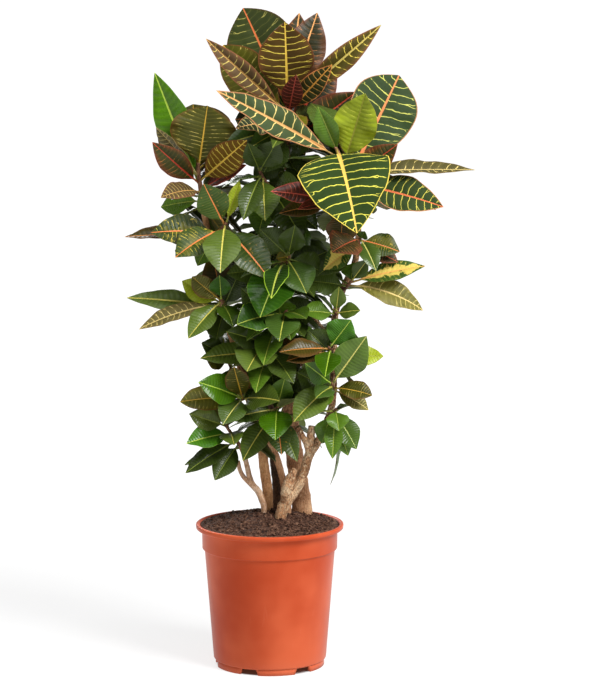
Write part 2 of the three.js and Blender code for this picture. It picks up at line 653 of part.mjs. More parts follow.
// The places of a leaf's middle and two edges at a share of its length, with the way its upper face looks
function section(leaf, share) {
  const chord = leaf.tip.clone().sub(leaf.foot);
  const length = chord.length();
  const along = chord.clone().normalize();
  const up = leaf.face.clone().addScaledVector(along, -leaf.face.dot(along)).normalize();
  const side = up.clone().cross(along);
  const bend = rad(leaf.bend || 0.5);
  const radius = length / (2 * Math.sin(bend / 2));
  const angle = bend * (share - 0.5);
  const middle = leaf.foot.clone()
    .addScaledVector(along, length / 2 + radius * Math.sin(angle))
    .addScaledVector(up, radius * (Math.cos(angle) - Math.cos(bend / 2)));
  const normal = up.clone().multiplyScalar(Math.cos(angle)).addScaledVector(along, Math.sin(angle));
  const blade = (share - STALK_SHARE) / (1 - STALK_SHARE);
  const half = Math.max((leaf.width / 2) * outline(blade, leaf.width), blade < 0.02 ? STALK / 2 : 0);
  const fold = rad(leaf.fold);
  const edge = (sign) => {
    const phase = 2 * Math.PI * WAVES * blade + leaf.phase + (sign > 0 ? EDGE_PHASE : 0);
    const wave = blade > 0 ? WAVE * leaf.width * Math.sin(phase) * Math.sin(Math.PI * blade) : 0;
    return middle.clone()
      .addScaledVector(side, sign * half * Math.cos(fold))
      .addScaledVector(normal, half * Math.sin(fold) + wave);
  };
  return { middle, normal, left: edge(-1), right: edge(1), side };
}

// Where a leaf has its sections, as shares of its length: a larger leaf has more of them
function stationsOf(width) {
  if (width >= LARGE_WIDTH) return LARGE_STATIONS;
  return width < SMALL_WIDTH ? SMALL_STATIONS : STATIONS;
}

// A leaf's closed solid: three points round the stalk and six round the blade, three on each face. The copy that
// tests for room is thicker and wider, and may start along the blade.
function leafSolid(leaf, room = 0, from = 0) {
  const rings = stationsOf(leaf.width).filter((share) => share >= from).map((share) => {
    const { middle, normal, left, right, side } = section(leaf, share);
    const stalk = share <= STALK_SHARE;
    const thick = (stalk ? STALK : BLADE) / 2 + room;
    const at = (point, height, out) => point.clone().addScaledVector(normal, height).addScaledVector(side, out);
    const low = [at(left, -thick, -room), at(middle, -thick, 0), at(right, -thick, room)];
    const high = [at(right, thick, room), at(middle, thick, 0), at(left, thick, -room)];
    return stalk ? [low[0], low[2], high[1]] : [...low, ...high];
  });
  const end = section(leaf, 1);
  rings.push([-1, 1].map((face) => end.middle.clone().addScaledVector(end.normal, face * (BLADE / 2 + room))));
  return solidOf(skin(rings));
}

// The triangles between two rings, alike on both faces, for each pair of ring sizes. A ring's points are counted
// from 0, and the next ring's from 6.
const BANDS = {
  '3-3': [[0, 1, 7], [0, 7, 6], [1, 2, 8], [1, 8, 7], [2, 0, 6], [2, 6, 8]],
  '3-6': [[0, 7, 6], [0, 1, 7], [1, 8, 7], [1, 9, 8], [1, 2, 9], [2, 10, 9], [2, 11, 10], [2, 0, 6], [2, 6, 11]],
  '6-6': [[0, 1, 7], [0, 7, 6], [1, 2, 7], [2, 8, 7], [2, 3, 9], [2, 9, 8], [3, 4, 10], [3, 10, 9],
    [4, 5, 10], [5, 11, 10], [5, 0, 6], [5, 6, 11]],
  '6-2': [[0, 1, 6], [1, 2, 6], [2, 3, 7], [2, 7, 6], [3, 4, 7], [4, 5, 7], [5, 0, 6], [5, 6, 7]],
};
const CAPS = { 3: [[0, 2, 1]], 6: [[0, 5, 4], [0, 4, 1], [1, 4, 3], [1, 3, 2]] };

// The closed surface over a leaf's rings, from the cap at its foot to the two points of its tip
function skin(rings) {
  const starts = rings.map((ring, r) => rings.slice(0, r).reduce((sum, earlier) => sum + earlier.length, 0));
  const faces = CAPS[rings[0].length].flat();
  for (let r = 0; r + 1 < rings.length; r += 1) {
    for (const corner of BANDS[`${rings[r].length}-${rings[r + 1].length}`].flat()) {
      faces.push(corner < 6 ? starts[r] + corner : starts[r + 1] + corner - 6);
    }
  }
  const geometry = new THREE.BufferGeometry().setFromPoints(rings.flat());
  geometry.setIndex(faces);
  return geometry;
}

// Everything that has been grown, with its box, so that a new leaf can be kept clear of it
const grown = [];

function remember(owner, kind, solid) {
  const { min, max } = solid.boundingBox();
  grown.push({ owner, kind, solid, box: new THREE.Box3(new THREE.Vector3(...min), new THREE.Vector3(...max)) });
}

function meets(solid, test) {
  const { min, max } = solid.boundingBox();
  const box = new THREE.Box3(new THREE.Vector3(...min), new THREE.Vector3(...max));
  return grown.some((other) => test(other) && other.box.intersectsBox(box)
    && other.solid.intersect(solid).volume() > 1e-4);
}

// The small changes that a leaf tries, in order, until it has room: how far its tip moves sideways, upwards
// and back, how much more its midrib bends, and its size
const DEPTHS = [0, -14, 14, -28, 28, -44, 44];
const SHIFTS = [[0, 0, 1], [0, -7, 1], [0, 7, 1], [7, 0, 1], [-7, 0, 1], [0, 0, 0.85], [10, -12, 1], [-10, 12, 0.9],
  [0, -20, 0.85], [0, 20, 0.85], [18, 0, 0.8], [-18, 0, 0.8], [0, -10, 0.65]];
const BENDS = [0, 16, -16];

function* tries(leaf) {
  for (const [sideways, upwards, size] of SHIFTS) {
    for (const bend of BENDS) {
      for (const back of DEPTHS) {
        const tip = leaf.tip.clone().add(new THREE.Vector3(sideways, back, upwards));
        tip.sub(leaf.foot).multiplyScalar(size).add(leaf.foot);
        yield { ...leaf, tip, bend: leaf.bend + bend, width: leaf.width * size };
      }
    }
  }
}

// A leaf goes where it has room, and is left out where it has none
function growLeaf(leaf) {
  for (const tried of tries(leaf)) {
    const strange = (other) => other.owner !== leaf.owner;
    const own = (other) => other.owner === leaf.owner && other.kind === 'blade';
    if (meets(leafSolid(tried, CLEARANCE, STALK_SHARE), strange)) continue;
    const blade = leafSolid(tried, 0, STALK_SHARE);
    if (meets(blade, own)) continue;
    const solid = leafSolid(tried);
    remember(leaf.owner, 'blade', blade);
    remember(leaf.owner, 'leaf', solid);
    return solid;
  }
  return null;
}

// Stems

function pointOn(points, share) {
  const lengths = points.slice(1).map((point, i) => point.distanceTo(points[i]));
  let left = share * lengths.reduce((sum, length) => sum + length, 0);
  for (let i = 0; i < lengths.length; i += 1) {
    if (left <= lengths[i] || i === lengths.length - 1) {
      return points[i].clone().lerp(points[i + 1], Math.min(left / lengths[i], 1));
    }
    left -= lengths[i];
  }
  return points.at(-1).clone();
}

const linePoints = (rows) => rows.map(([x, z, y]) => seen(x, z, y));
const lineRadii = (rows) => rows.map((row) => row[3]);

function stemSolid(rows, sides, extra = 0) {
  return solidOf(limb(linePoints(rows), lineRadii(rows), sides, extra));
}

function woodSolid(wood, extra = 0) {
  return wood.branches.reduce(
    (whole, rows) => whole.add(stemSolid(rows, BRANCH_SIDES, extra)),
    stemSolid(wood.stem, wood.sides, extra),
  );
}

// A leaf's foot is a little out from the middle of its stem, on the leaf's own side
function rootOf(middle, tip) {
  return middle.clone().addScaledVector(tip.clone().sub(middle).normalize(), ROOT);
}

// A repeatable draw between 0 and 1
function drawer(seed) {
  let state = seed;
  return () => {
    state = (state * 16807) % 2147483647;
    return state / 2147483647;
  };
}

// More leaves stand round a stem by the golden angle, within a spread about the way that they grow towards,
// low ones hanging and high ones upright
const GOLDEN = 137.508;

function moreLeaves(shoot, index) {
  const { count, from, reach, width, low, high, toward, spread } = shoot.more;
  const draw = drawer(SEED + SEED_STEP * index);
  const points = linePoints(shoot.stem);
  const leaves = [];
  for (let k = 0; k < count; k += 1) {
    const height = (k + 0.5) / count;
    const middle = pointOn(points, from + (0.98 - from) * height);
    const turn = toward + (((k * GOLDEN) % 360) / 360 - 0.5) * spread;
    const lift = low + (high - low) * height;
    const length = reach * (0.82 + 0.36 * draw());
    const tip = middle.clone().addScaledVector(looking(turn, lift), length);
    leaves.push({
      foot: rootOf(middle, tip),
      tip,
      width: width * (0.85 + 0.3 * draw()),
      face: UP.clone().addScaledVector(looking(turn, 0), 0.15),
      bend: 22 + 26 * draw(),
      fold: 10 + 8 * draw(),
    });
  }
  return leaves;
}

function placedLeaves(shoot) {
  const points = linePoints(shoot.stem);
  return shoot.leaves.map(([place, x, z, y, width, right, upwards, bend, fold]) => ({
    foot: rootOf(pointOn(points, place), seen(x, z, y)),
    tip: seen(x, z, y),
    width,
    face: looking(right, upwards),
    bend,
    fold,
  }));
}

// The object

const croton = new THREE.Group();

function addPiece(name, solid, color, roughness) {
  const material = new THREE.MeshStandardMaterial({ color, roughness, metalness: 0 });
  const mesh = new THREE.Mesh(geometryOf(solid), material);
  mesh.name = name;
  croton.add(mesh);
}

const woods = WOOD.map((wood) => ({ ...wood, solid: woodSolid(wood), clear: woodSolid(wood, FIT) }));
for (const wood of woods) remember(wood.name, 'wood', wood.solid);
const shoots = SHOOTS.map((shoot, index) => {
  const stem = stemSolid(shoot.stem, SHOOT_SIDES);
  remember(shoot.name, 'stem', stem);
  const more = shoot.more ? moreLeaves(shoot, index) : [];
  return { ...shoot, stem, placed: placedLeaves(shoot), ruled: more, parts: [] };
});

// Each shoot's most showy leaf is listed first, so the shoots take turns
function growRank(shoot, index, list, rank) {
  if (rank >= list.length) return;
  const leaf = { ...list[rank], owner: shoot.name, phase: LEAF_PHASE * rank + SHOOT_PHASE * index };
  const solid = growLeaf(leaf);
  if (solid) shoot.parts.push(solid);
}

for (const kind of ['placed', 'ruled']) {
  for (let rank = 0; rank < MOST_LEAVES; rank += 1) {
    shoots.forEach((shoot, index) => growRank(shoot, index, shoot[kind], rank));
  }
}

addPiece('pot', makePot(), 0xcd5532, 0.45);
const soil = woods.reduce((whole, wood) => whole.subtract(wood.clear), makeSoil());
addPiece('soil', largestBody(soil), 0x3a261d, 0.95);
for (const wood of woods) addPiece(wood.name, wood.solid, wood.color, 0.85);
for (const shoot of shoots) {
  const whole = shoot.parts.reduce((sum, part) => sum.add(part), shoot.stem);
  const seated = woods.reduce((rest, wood) => rest.subtract(wood.clear), whole);
  addPiece(shoot.name, largestBody(seated), shoot.color, 0.4);
}

export default croton;
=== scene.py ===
"""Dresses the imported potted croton: its pot, crumbly soil, barked stems and veined leaves.

The plant's own measurements are in millimetres, and MM turns them into the frame's metres.
+Z is up, -Y is the plant's front, and the origin is the middle of the pot's underside.
"""
import itertools
import logging
import math
import random
from collections.abc import Iterable, Iterator, Sequence
from dataclasses import dataclass, field
from enum import Enum

import bmesh
import bpy
from mathutils import Matrix, Vector, kdtree, noise
from mathutils.bvhtree import BVHTree


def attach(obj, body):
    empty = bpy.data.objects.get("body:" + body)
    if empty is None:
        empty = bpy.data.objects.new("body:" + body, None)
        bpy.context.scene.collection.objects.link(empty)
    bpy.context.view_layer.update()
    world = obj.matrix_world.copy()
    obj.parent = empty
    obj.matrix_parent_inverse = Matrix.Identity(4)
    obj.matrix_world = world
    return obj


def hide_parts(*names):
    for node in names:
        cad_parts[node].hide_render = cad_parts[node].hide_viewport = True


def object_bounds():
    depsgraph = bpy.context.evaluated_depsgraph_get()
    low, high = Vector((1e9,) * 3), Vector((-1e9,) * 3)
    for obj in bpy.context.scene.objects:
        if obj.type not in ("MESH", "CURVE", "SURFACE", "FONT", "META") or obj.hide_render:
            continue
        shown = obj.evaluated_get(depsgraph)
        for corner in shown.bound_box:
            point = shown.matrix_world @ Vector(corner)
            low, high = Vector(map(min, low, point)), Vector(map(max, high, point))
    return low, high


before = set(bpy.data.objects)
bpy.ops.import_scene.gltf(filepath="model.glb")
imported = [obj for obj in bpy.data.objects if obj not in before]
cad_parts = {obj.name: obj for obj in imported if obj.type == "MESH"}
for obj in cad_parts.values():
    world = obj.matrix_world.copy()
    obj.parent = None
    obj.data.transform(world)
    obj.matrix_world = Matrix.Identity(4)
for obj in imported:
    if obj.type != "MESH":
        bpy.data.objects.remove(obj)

CAD_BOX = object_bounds()
MM = 0.001
UP = Vector((0.0, 0.0, 1.0))
LIGHT = 1.24  # how much brighter the studio shows a surface than its own colour is
log = logging.getLogger("croton")

Colour = tuple[float, float, float]
Rgb = tuple[int, int, int]


def tone(red: int, green: int, blue: int) -> Colour:
    """The linear colour of a surface that the studio shows in this colour, 0 to 255 a channel."""
    shares = (channel / 255 for channel in (red, green, blue))
    return tuple((s / 12.92 if s <= 0.04045 else ((s + 0.055) / 1.055) ** 2.4) / LIGHT for s in shares)


def smooth(low: float, high: float, value: float) -> float:
    """Rises smoothly from 0 at low to 1 at high."""
    share = min(max((value - low) / (high - low), 0.0), 1.0)
    return share * share * (3 - 2 * share)


class Value:
    """A socket of a shader, with arithmetic that adds Math nodes."""

    def __init__(self, shader: "Shader", socket: bpy.types.NodeSocket) -> None:
        """Keeps the shader and the socket."""
        self.shader = shader
        self.socket = socket

    def __add__(self, other: "Value | float") -> "Value":
        """The sum."""
        return self.shader.maths("ADD", self, other)

    def __radd__(self, other: float) -> "Value":
        """The sum."""
        return self.shader.maths("ADD", other, self)

    def __sub__(self, other: "Value | float") -> "Value":
        """The difference."""
        return self.shader.maths("SUBTRACT", self, other)

    def __rsub__(self, other: float) -> "Value":
        """The difference."""
        return self.shader.maths("SUBTRACT", other, self)

    def __mul__(self, other: "Value | float") -> "Value":
        """The product."""
        return self.shader.maths("MULTIPLY", self, other)

    def __truediv__(self, other: "Value | float") -> "Value":
        """The quotient."""
        return self.shader.maths("DIVIDE", self, other)

    def __abs__(self) -> "Value":
        """The value without its sign."""
        return self.shader.maths("ABSOLUTE", self)


class Shader:
    """The nodes of one material, or of the sky, built by expressions on values."""

    def __init__(self, name: str, sky: bool = False) -> None:
        """Starts a material, or the world's shader.

        Args:
            name: its name.
            sky: whether it is the world's.
        """
        self.material = (bpy.data.worlds if sky else bpy.data.materials).new(name)
        self.material.use_nodes = True
        self.tree = self.material.node_tree
        self.surface = self.tree.nodes["Background" if sky else "Principled BSDF"]
        self.object_point = self.out(self.add("ShaderNodeTexCoord"), "Object")

    def add(self, kind: str, settings: dict | None = None, inputs: dict | None = None) -> bpy.types.Node:
        """Adds any node.

        Args:
            kind: the node's type.
            settings: its settings, set first; "stops" holds a ramp's places and colours.
            inputs: values or links for its sockets, by name or number.

        Returns:
            The node.
        """
        node = self.tree.nodes.new(kind)
        for key, setting in (settings or {}).items():
            if key == "stops":
                ramp = node.color_ramp
                while len(ramp.elements) < len(setting):
                    ramp.elements.new(0.5)
                for element, (place, colour) in zip(ramp.elements, setting):
                    element.position = place
                    element.color = (*colour, 1.0)
            else:
                setattr(node, key, setting)
        for key, value in (inputs or {}).items():
            self.feed(node.inputs[key], value)
        return node

    def feed(self, socket: bpy.types.NodeSocket, value: "Value | float | Sequence[float]") -> None:
        """Links a value to a socket, or sets the socket to a number or a colour.

        Args:
            socket: the socket.
            value: the value to link, or the number or colour to set.
        """
        if isinstance(value, Value):
            self.tree.links.new(value.socket, socket)
        elif socket.type == "RGBA" and len(value) == 3:
            socket.default_value = (*value, 1.0)
        else:
            socket.default_value = value

    def out(self, node: bpy.types.Node, key: str | int = 0) -> Value:
        """One of a node's outputs as a value."""
        return Value(self, node.outputs[key])

    def maths(self, operation: str, *values: "Value | float") -> Value:
        """A Math node's result."""
        node = self.add("ShaderNodeMath", {"operation": operation}, dict(enumerate(values)))
        return self.out(node)

    def step(self, value: Value, low: "Value | float", high: "Value | float") -> Value:
        """Rises smoothly from 0 at low to 1 at high."""
        inputs = {"Value": value, "From Min": low, "From Max": high}
        return self.out(self.add("ShaderNodeMapRange", {"interpolation_type": "SMOOTHSTEP"}, inputs))

    def blend(
        self, factor: "Value | float", a: "Value | Colour", b: "Value | Colour", kind: str = "MIX"
    ) -> Value:
        """Colour a turned into, or by, colour b by a factor."""
        settings = {"data_type": "RGBA", "blend_type": kind, "clamp_factor": True}
        return self.out(self.add("ShaderNodeMix", settings, {0: factor, 6: a, 7: b}), 2)

    def ramp(self, value: Value, *stops: tuple[float, Colour]) -> Value:
        """A colour by value, from places and colours."""
        return self.out(self.add("ShaderNodeValToRGB", {"stops": stops}, {"Fac": value}))

    def noise(self, scale: float, detail: float = 2.0, point: Value | None = None) -> Value:
        """Noise from 0 to 1, with its grains 1/scale metres apart."""
        inputs = {"Vector": point or self.object_point, "Scale": scale, "Detail": detail}
        return self.out(self.add("ShaderNodeTexNoise", {}, inputs))

    def cells(self, scale: float, feature: str = "F1", point: Value | None = None) -> Value:
        """The distance to the middle or to the edge of a cell, cells being 1/scale metres wide."""
        inputs = {"Vector": point or self.object_point, "Scale": scale}
        return self.out(self.add("ShaderNodeTexVoronoi", {"feature": feature}, inputs), "Distance")

    def stretched(self, x: float, y: float, z: float) -> Value:
        """The object point with each direction multiplied."""
        inputs = {"Vector": self.object_point, "Scale": (x, y, z)}
        return self.out(self.add("ShaderNodeMapping", {"vector_type": "POINT"}, inputs))

    def attribute(self, name: str) -> bpy.types.Node:
        """The node that reads one of the mesh's own attributes."""
        return self.add("ShaderNodeAttribute", {"attribute_name": name})

    def parts(self, node: bpy.types.Node) -> tuple[Value, Value, Value]:
        """The three numbers of an attribute."""
        split = self.add("ShaderNodeSeparateXYZ", {}, {0: self.out(node, "Vector")})
        return self.out(split, 0), self.out(split, 1), self.out(split, 2)

    def relief(self, height: Value, depth: float, strength: float = 1.0) -> Value:
        """The normal of a surface with this relief, depth metres from lowest to highest."""
        inputs = {"Height": height, "Distance": depth, "Strength": strength}
        return self.out(self.add("ShaderNodeBump", {}, inputs))

    def finish(self, **inputs: "Value | float | Colour") -> bpy.types.Material:
        """Feeds the surface's sockets and gives the material.

        Args:
            inputs: values by socket name, with _ for a space.

        Returns:
            The finished material.
        """
        for key, value in inputs.items():
            self.feed(self.surface.inputs[key.replace("_", " ")], value)
        return self.material


@dataclass(frozen=True)
class PotPlastic:
    """Satin terracotta-coloured moulded plastic, a little scuffed and dusty."""

    colour: Colour = tone(221, 102, 63)
    deep: Colour = tone(192, 72, 36)
    dust: Colour = tone(222, 140, 108)

    def material(self) -> bpy.types.Material:
        """Builds the plastic.

        Returns:
            The material.
        """
        s = Shader("pot plastic")
        cloudy = s.noise(9.0, 3.0)
        flow = s.noise(1.0, 4.0, s.stretched(70.0, 70.0, 3.0))
        scuffs = s.step(s.noise(1.0, 3.0, s.stretched(260.0, 260.0, 30.0)), 0.66, 0.74)
        height = s.out(s.add("ShaderNodeSeparateXYZ", {}, {0: s.object_point}), 2)
        foot = 1 - s.step(height, 0.0, 30 * MM)
        colour = s.blend(s.step(cloudy, 0.3, 0.7), self.deep, self.colour)
        colour = s.blend(scuffs * 0.07 + foot * cloudy * 0.25, colour, self.dust)
        rough = 0.28 + flow * 0.10 + scuffs * 0.1
        grain = s.noise(900.0, 2.0)
        normal = s.relief(flow * 0.7 + grain * 0.3, 0.00014, 0.5)
        return s.finish(Base_Color=colour, Roughness=rough, Normal=normal, Specular_IOR_Level=0.08)


@dataclass(frozen=True)
class PottingMix:
    """Moist, crumbly potting mix of peat and bark."""

    dark: Colour = tone(24, 13, 9)
    brown: Colour = tone(84, 55, 41)
    light: Colour = tone(160, 122, 98)

    def material(self, name: str, lift: float) -> bpy.types.Material:
        """Builds the mix.

        Args:
            name: the material's name.
            lift: how much of the lightest brown it shows, from 0 to 1.

        Returns:
            The material.
        """
        s = Shader(name)
        coarse = s.noise(210.0, 6.0)
        fine = s.noise(760.0, 3.0)
        crumbs = s.cells(330.0)
        colour = s.ramp(coarse * 0.6 + fine * 0.4, (0.38, self.dark), (0.52, self.brown), (0.70, self.light))
        colour = s.blend(s.step(fine, 0.64 - 0.2 * lift, 0.8) * (0.5 + lift * 0.4), colour, self.light)
        normal = s.relief(coarse * 0.5 + fine * 0.2 + crumbs * 0.3, 0.004, 0.9)
        rough = 0.85 + fine * 0.12
        return s.finish(Base_Color=colour, Roughness=rough, Normal=normal, Specular_IOR_Level=0.2)


@dataclass(frozen=True)
class Bark:
    """Thin bark with fine cracks, pale scabs and dark scars.

    Corky bark is rougher, and its scabs and cracks stand out more, from 0 to 1.
    """

    name: str
    dark: Colour
    middle: Colour
    light: Colour
    cork: float = 0.0

    def material(self) -> bpy.types.Material:
        """Builds the bark.

        Returns:
            The material.
        """
        s, cork = Shader(self.name), self.cork
        along = s.stretched(1.0, 1.0, 0.3)
        patches = s.noise(38.0, 4.0)
        grain = s.noise(480.0, 4.0, along)
        cracks = 1 - s.step(s.cells(420.0, "DISTANCE_TO_EDGE", s.stretched(1.0, 1.0, 0.4)), 0.0, 0.09)
        scabs = s.step(s.noise(430.0, 4.0, s.stretched(1.0, 1.0, 0.6)), 0.54, 0.64)
        rings = s.step(s.noise(1.0, 2.0, s.stretched(30.0, 30.0, 240.0)), 0.6, 0.72)
        mixed = patches * 0.6 + grain * 0.4
        colour = s.ramp(mixed, (0.34, self.dark), (0.5, self.middle), (0.66, self.light))
        colour = s.blend(cracks * (0.3 + 0.5 * cork) + rings * 0.2, colour, self.dark)
        colour = s.blend(scabs * (0.35 + 0.45 * cork), colour, self.light)
        height = grain * 0.3 + scabs * (0.2 + 0.3 * cork) - cracks * (0.2 + 0.4 * cork) - rings * 0.15
        normal = s.relief(height, 0.0013 + 0.0009 * cork, 0.9)
        rough = 0.7 + grain * 0.2
        return s.finish(Base_Color=colour, Roughness=rough, Normal=normal, Specular_IOR_Level=0.25)


@dataclass(frozen=True)
class CutWood:
    """The pale, dried end of a cut stem."""

    pale: Colour = tone(228, 192, 152)
    brown: Colour = tone(158, 116, 84)

    def material(self) -> bpy.types.Material:
        """Builds the cut end.

        Returns:
            The material.
        """
        s = Shader("cut wood")
        grain = s.noise(700.0, 3.0)
        colour = s.blend(s.step(grain, 0.35, 0.7), self.brown, self.pale)
        return s.finish(Base_Color=colour, Roughness=0.7 + grain * 0.2, Normal=s.relief(grain, 0.0008, 0.7))


THIN_BARK = Bark("thin bark", tone(158, 106, 74), tone(240, 194, 154), tone(255, 240, 220))
CORKY_BARK = Bark("corky bark", tone(106, 66, 42), tone(212, 156, 110), tone(255, 226, 184), 1.0)
TAN_BARK = Bark("tan bark", tone(122, 82, 56), tone(206, 150, 108), tone(236, 190, 146), 0.3)
OLIVE_BARK = Bark("olive bark", tone(128, 84, 52), tone(216, 158, 108), tone(248, 200, 148), 0.1)
# Painted shade: this bark's browns are darkened as the shade on a stem that stands in shadow among the others.
PAINTED_SHADE_BARK = Bark("bark with painted shade", tone(40, 27, 19), tone(84, 60, 44), tone(124, 94, 70), 0.2)
SHOOT_BARK = Bark("shoot bark", tone(70, 46, 32), tone(134, 92, 66), tone(186, 140, 106))
PLASTIC = PotPlastic()
MIX = PottingMix()
CUT = CutWood()


@dataclass(frozen=True)
class LeafFinish:
    """One kind of leaf: its colours as the studio shows them, how strongly each shows, and its outline.

    The strengths go from 0 to 1. The field widest says where along the blade it is widest, blunt turns its
    point into a round end, and wavy multiplies the waves of its edge.
    """

    ground: Rgb
    vein: Rgb
    rib: Rgb
    edge: Rgb
    veining: float = 0.0
    ribbing: float = 0.6
    edging: float = 0.0
    mottling: float = 0.0
    blush: float = 0.0
    flecks: float = 0.0
    widest: float = 0.5
    blunt: float = 0.0
    wavy: float = 1.0


LEMON = (232, 208, 84)
STRAW = (204, 184, 96)
CREAMY = (226, 202, 122)
ORANGE = (226, 120, 66)
AMBER = (226, 160, 66)
PINK = (196, 84, 70)
RUST = (124, 62, 34)
PEACH = (206, 142, 96)


class Kind(Enum):
    """The kinds of leaf on the plant."""

    BRONZE = LeafFinish((122, 86, 4), LEMON, (236, 196, 76), RUST, 0.9, 0.9, 0.7, blush=0.3, blunt=0.3)
    OLIVE = LeafFinish((106, 104, 10), STRAW, (204, 160, 52), RUST, 0.35, 0.75, 0.8, blush=0.3, blunt=0.8)
    NIGHT = LeafFinish((66, 76, 30), (178, 170, 88), ORANGE, RUST, 0.4, 0.8, 0.4, blush=0.2, blunt=0.9)
    HORN = LeafFinish((104, 90, 18), LEMON, STRAW, (132, 78, 46), 0.6, 0.7, 0.9, blush=0.5, wavy=1.6)
    PLUM = LeafFinish((104, 78, 46), STRAW, (206, 160, 88), (142, 84, 54), 0.75, 0.6, 0.8, blush=0.4)
    EMBER = LeafFinish((56, 54, 24), (170, 110, 60), (226, 160, 92), RUST, 0.4, 0.8, 0.5, blush=0.5)
    MAROON = LeafFinish((98, 36, 24), (206, 102, 78), PINK, (128, 44, 34), 0.9, 0.7, 0.5, blush=0.2)
    LACE = LeafFinish((70, 72, 18), (234, 170, 84), AMBER, (226, 136, 76), 1.0, 0.9, 1.0, blush=0.2)
    SEA = LeafFinish((62, 78, 40), CREAMY, (214, 160, 96), (198, 130, 84), 0.8, 0.6, 0.7, wavy=3.0)
    FIRE = LeafFinish((64, 64, 20), (180, 112, 50), (206, 70, 46), (142, 58, 36), 0.4, 0.7, 0.8, blush=0.5)
    JEWEL = LeafFinish(
        (60, 88, 22), (226, 218, 84), (240, 196, 92), LEMON, 1.0, 1.0, 1.0, widest=0.33, blunt=0.1
    )
    BANNER = LeafFinish(
        (46, 70, 16), (196, 196, 92), (222, 132, 76), PEACH, 0.75, 0.9, 0.7, widest=0.6, blunt=0.9
    )
    FRINGE = LeafFinish((58, 80, 26), (208, 196, 80), (216, 112, 66), PEACH, 0.9, 0.7, 0.9, blunt=0.1)
    LIME = LeafFinish(
        (190, 206, 44), (206, 208, 76), (150, 150, 50), (140, 120, 44), 0.3, 0.6, 0.5, blunt=0.2, wavy=1.8
    )
    VIVID = LeafFinish((78, 124, 12), (140, 180, 50), (172, 200, 70), (112, 164, 34), 0.05, 0.6, 0.3)
    GLOSS = LeafFinish(
        (76, 132, 28), (132, 166, 62), (190, 208, 84), (124, 160, 50), 0.05, 0.7, 0.4, wavy=1.5
    )
    GREEN = LeafFinish((98, 135, 38), (122, 148, 58), (170, 184, 76), (98, 128, 42), 0.05, 0.6, 0.3)
    TEAL = LeafFinish((88, 120, 48), (128, 156, 76), (204, 204, 88), (94, 118, 50), 0.08, 0.7, 0.3)
    DEEP = LeafFinish((80, 100, 38), (104, 120, 48), (132, 146, 58), (74, 84, 32), 0.05, 0.5, 0.2)
    IVY = LeafFinish((98, 120, 44), (146, 160, 72), (214, 202, 92), (98, 116, 44), 0.1, 0.75, 0.4)
    SAGE = LeafFinish((98, 126, 50), (154, 170, 90), (218, 210, 114), (118, 136, 64), 0.08, 0.7, 0.4)
    FLAME = LeafFinish(
        (64, 88, 30), (206, 156, 68), (232, 136, 70), (108, 104, 42), 0.12, 0.9, 0.4, flecks=0.35
    )
    SPARK = LeafFinish(
        (64, 84, 24), (222, 194, 70), (232, 128, 64), (120, 104, 40), 0.35, 0.9, 0.4, 0.1, flecks=0.5
    )
    BROWN = LeafFinish(
        (92, 80, 28), (180, 134, 62), (214, 140, 70), (116, 72, 38), 0.12, 0.6, 0.5, blush=0.5
    )
    FOX = LeafFinish((72, 62, 28), (176, 112, 56), (206, 92, 58), (150, 66, 42), 0.55, 0.7, 0.8, blush=0.5)
    WINE = LeafFinish(
        (104, 42, 26), (196, 92, 62), (204, 84, 64), (188, 66, 54), 0.35, 0.6, 0.8, 0.1, blush=0.3
    )
    KHAKI = LeafFinish((126, 114, 62), CREAMY, (214, 190, 118), (132, 100, 60), 0.6, 0.7, 0.6, blush=0.2)
    SAND = LeafFinish(
        (140, 134, 52), (208, 190, 110), (222, 196, 122), (168, 148, 84), 0.5, 0.8, 0.5, 0.1, blush=0.3
    )
    CREAM = LeafFinish((66, 98, 28), (236, 208, 100), (232, 176, 92), (130, 138, 50), 0.5, 0.9, 0.2, 0.85)
    RIMMED = LeafFinish(
        (54, 90, 28), (120, 150, 60), (190, 200, 84), (150, 186, 50), 0.1, 0.7, 1.0, wavy=1.8
    )
    MOTTLED = LeafFinish(
        (114, 132, 50), (140, 156, 66), (150, 162, 64), (104, 124, 46), 0.05, 0.5, 0.3, 0.3
    )


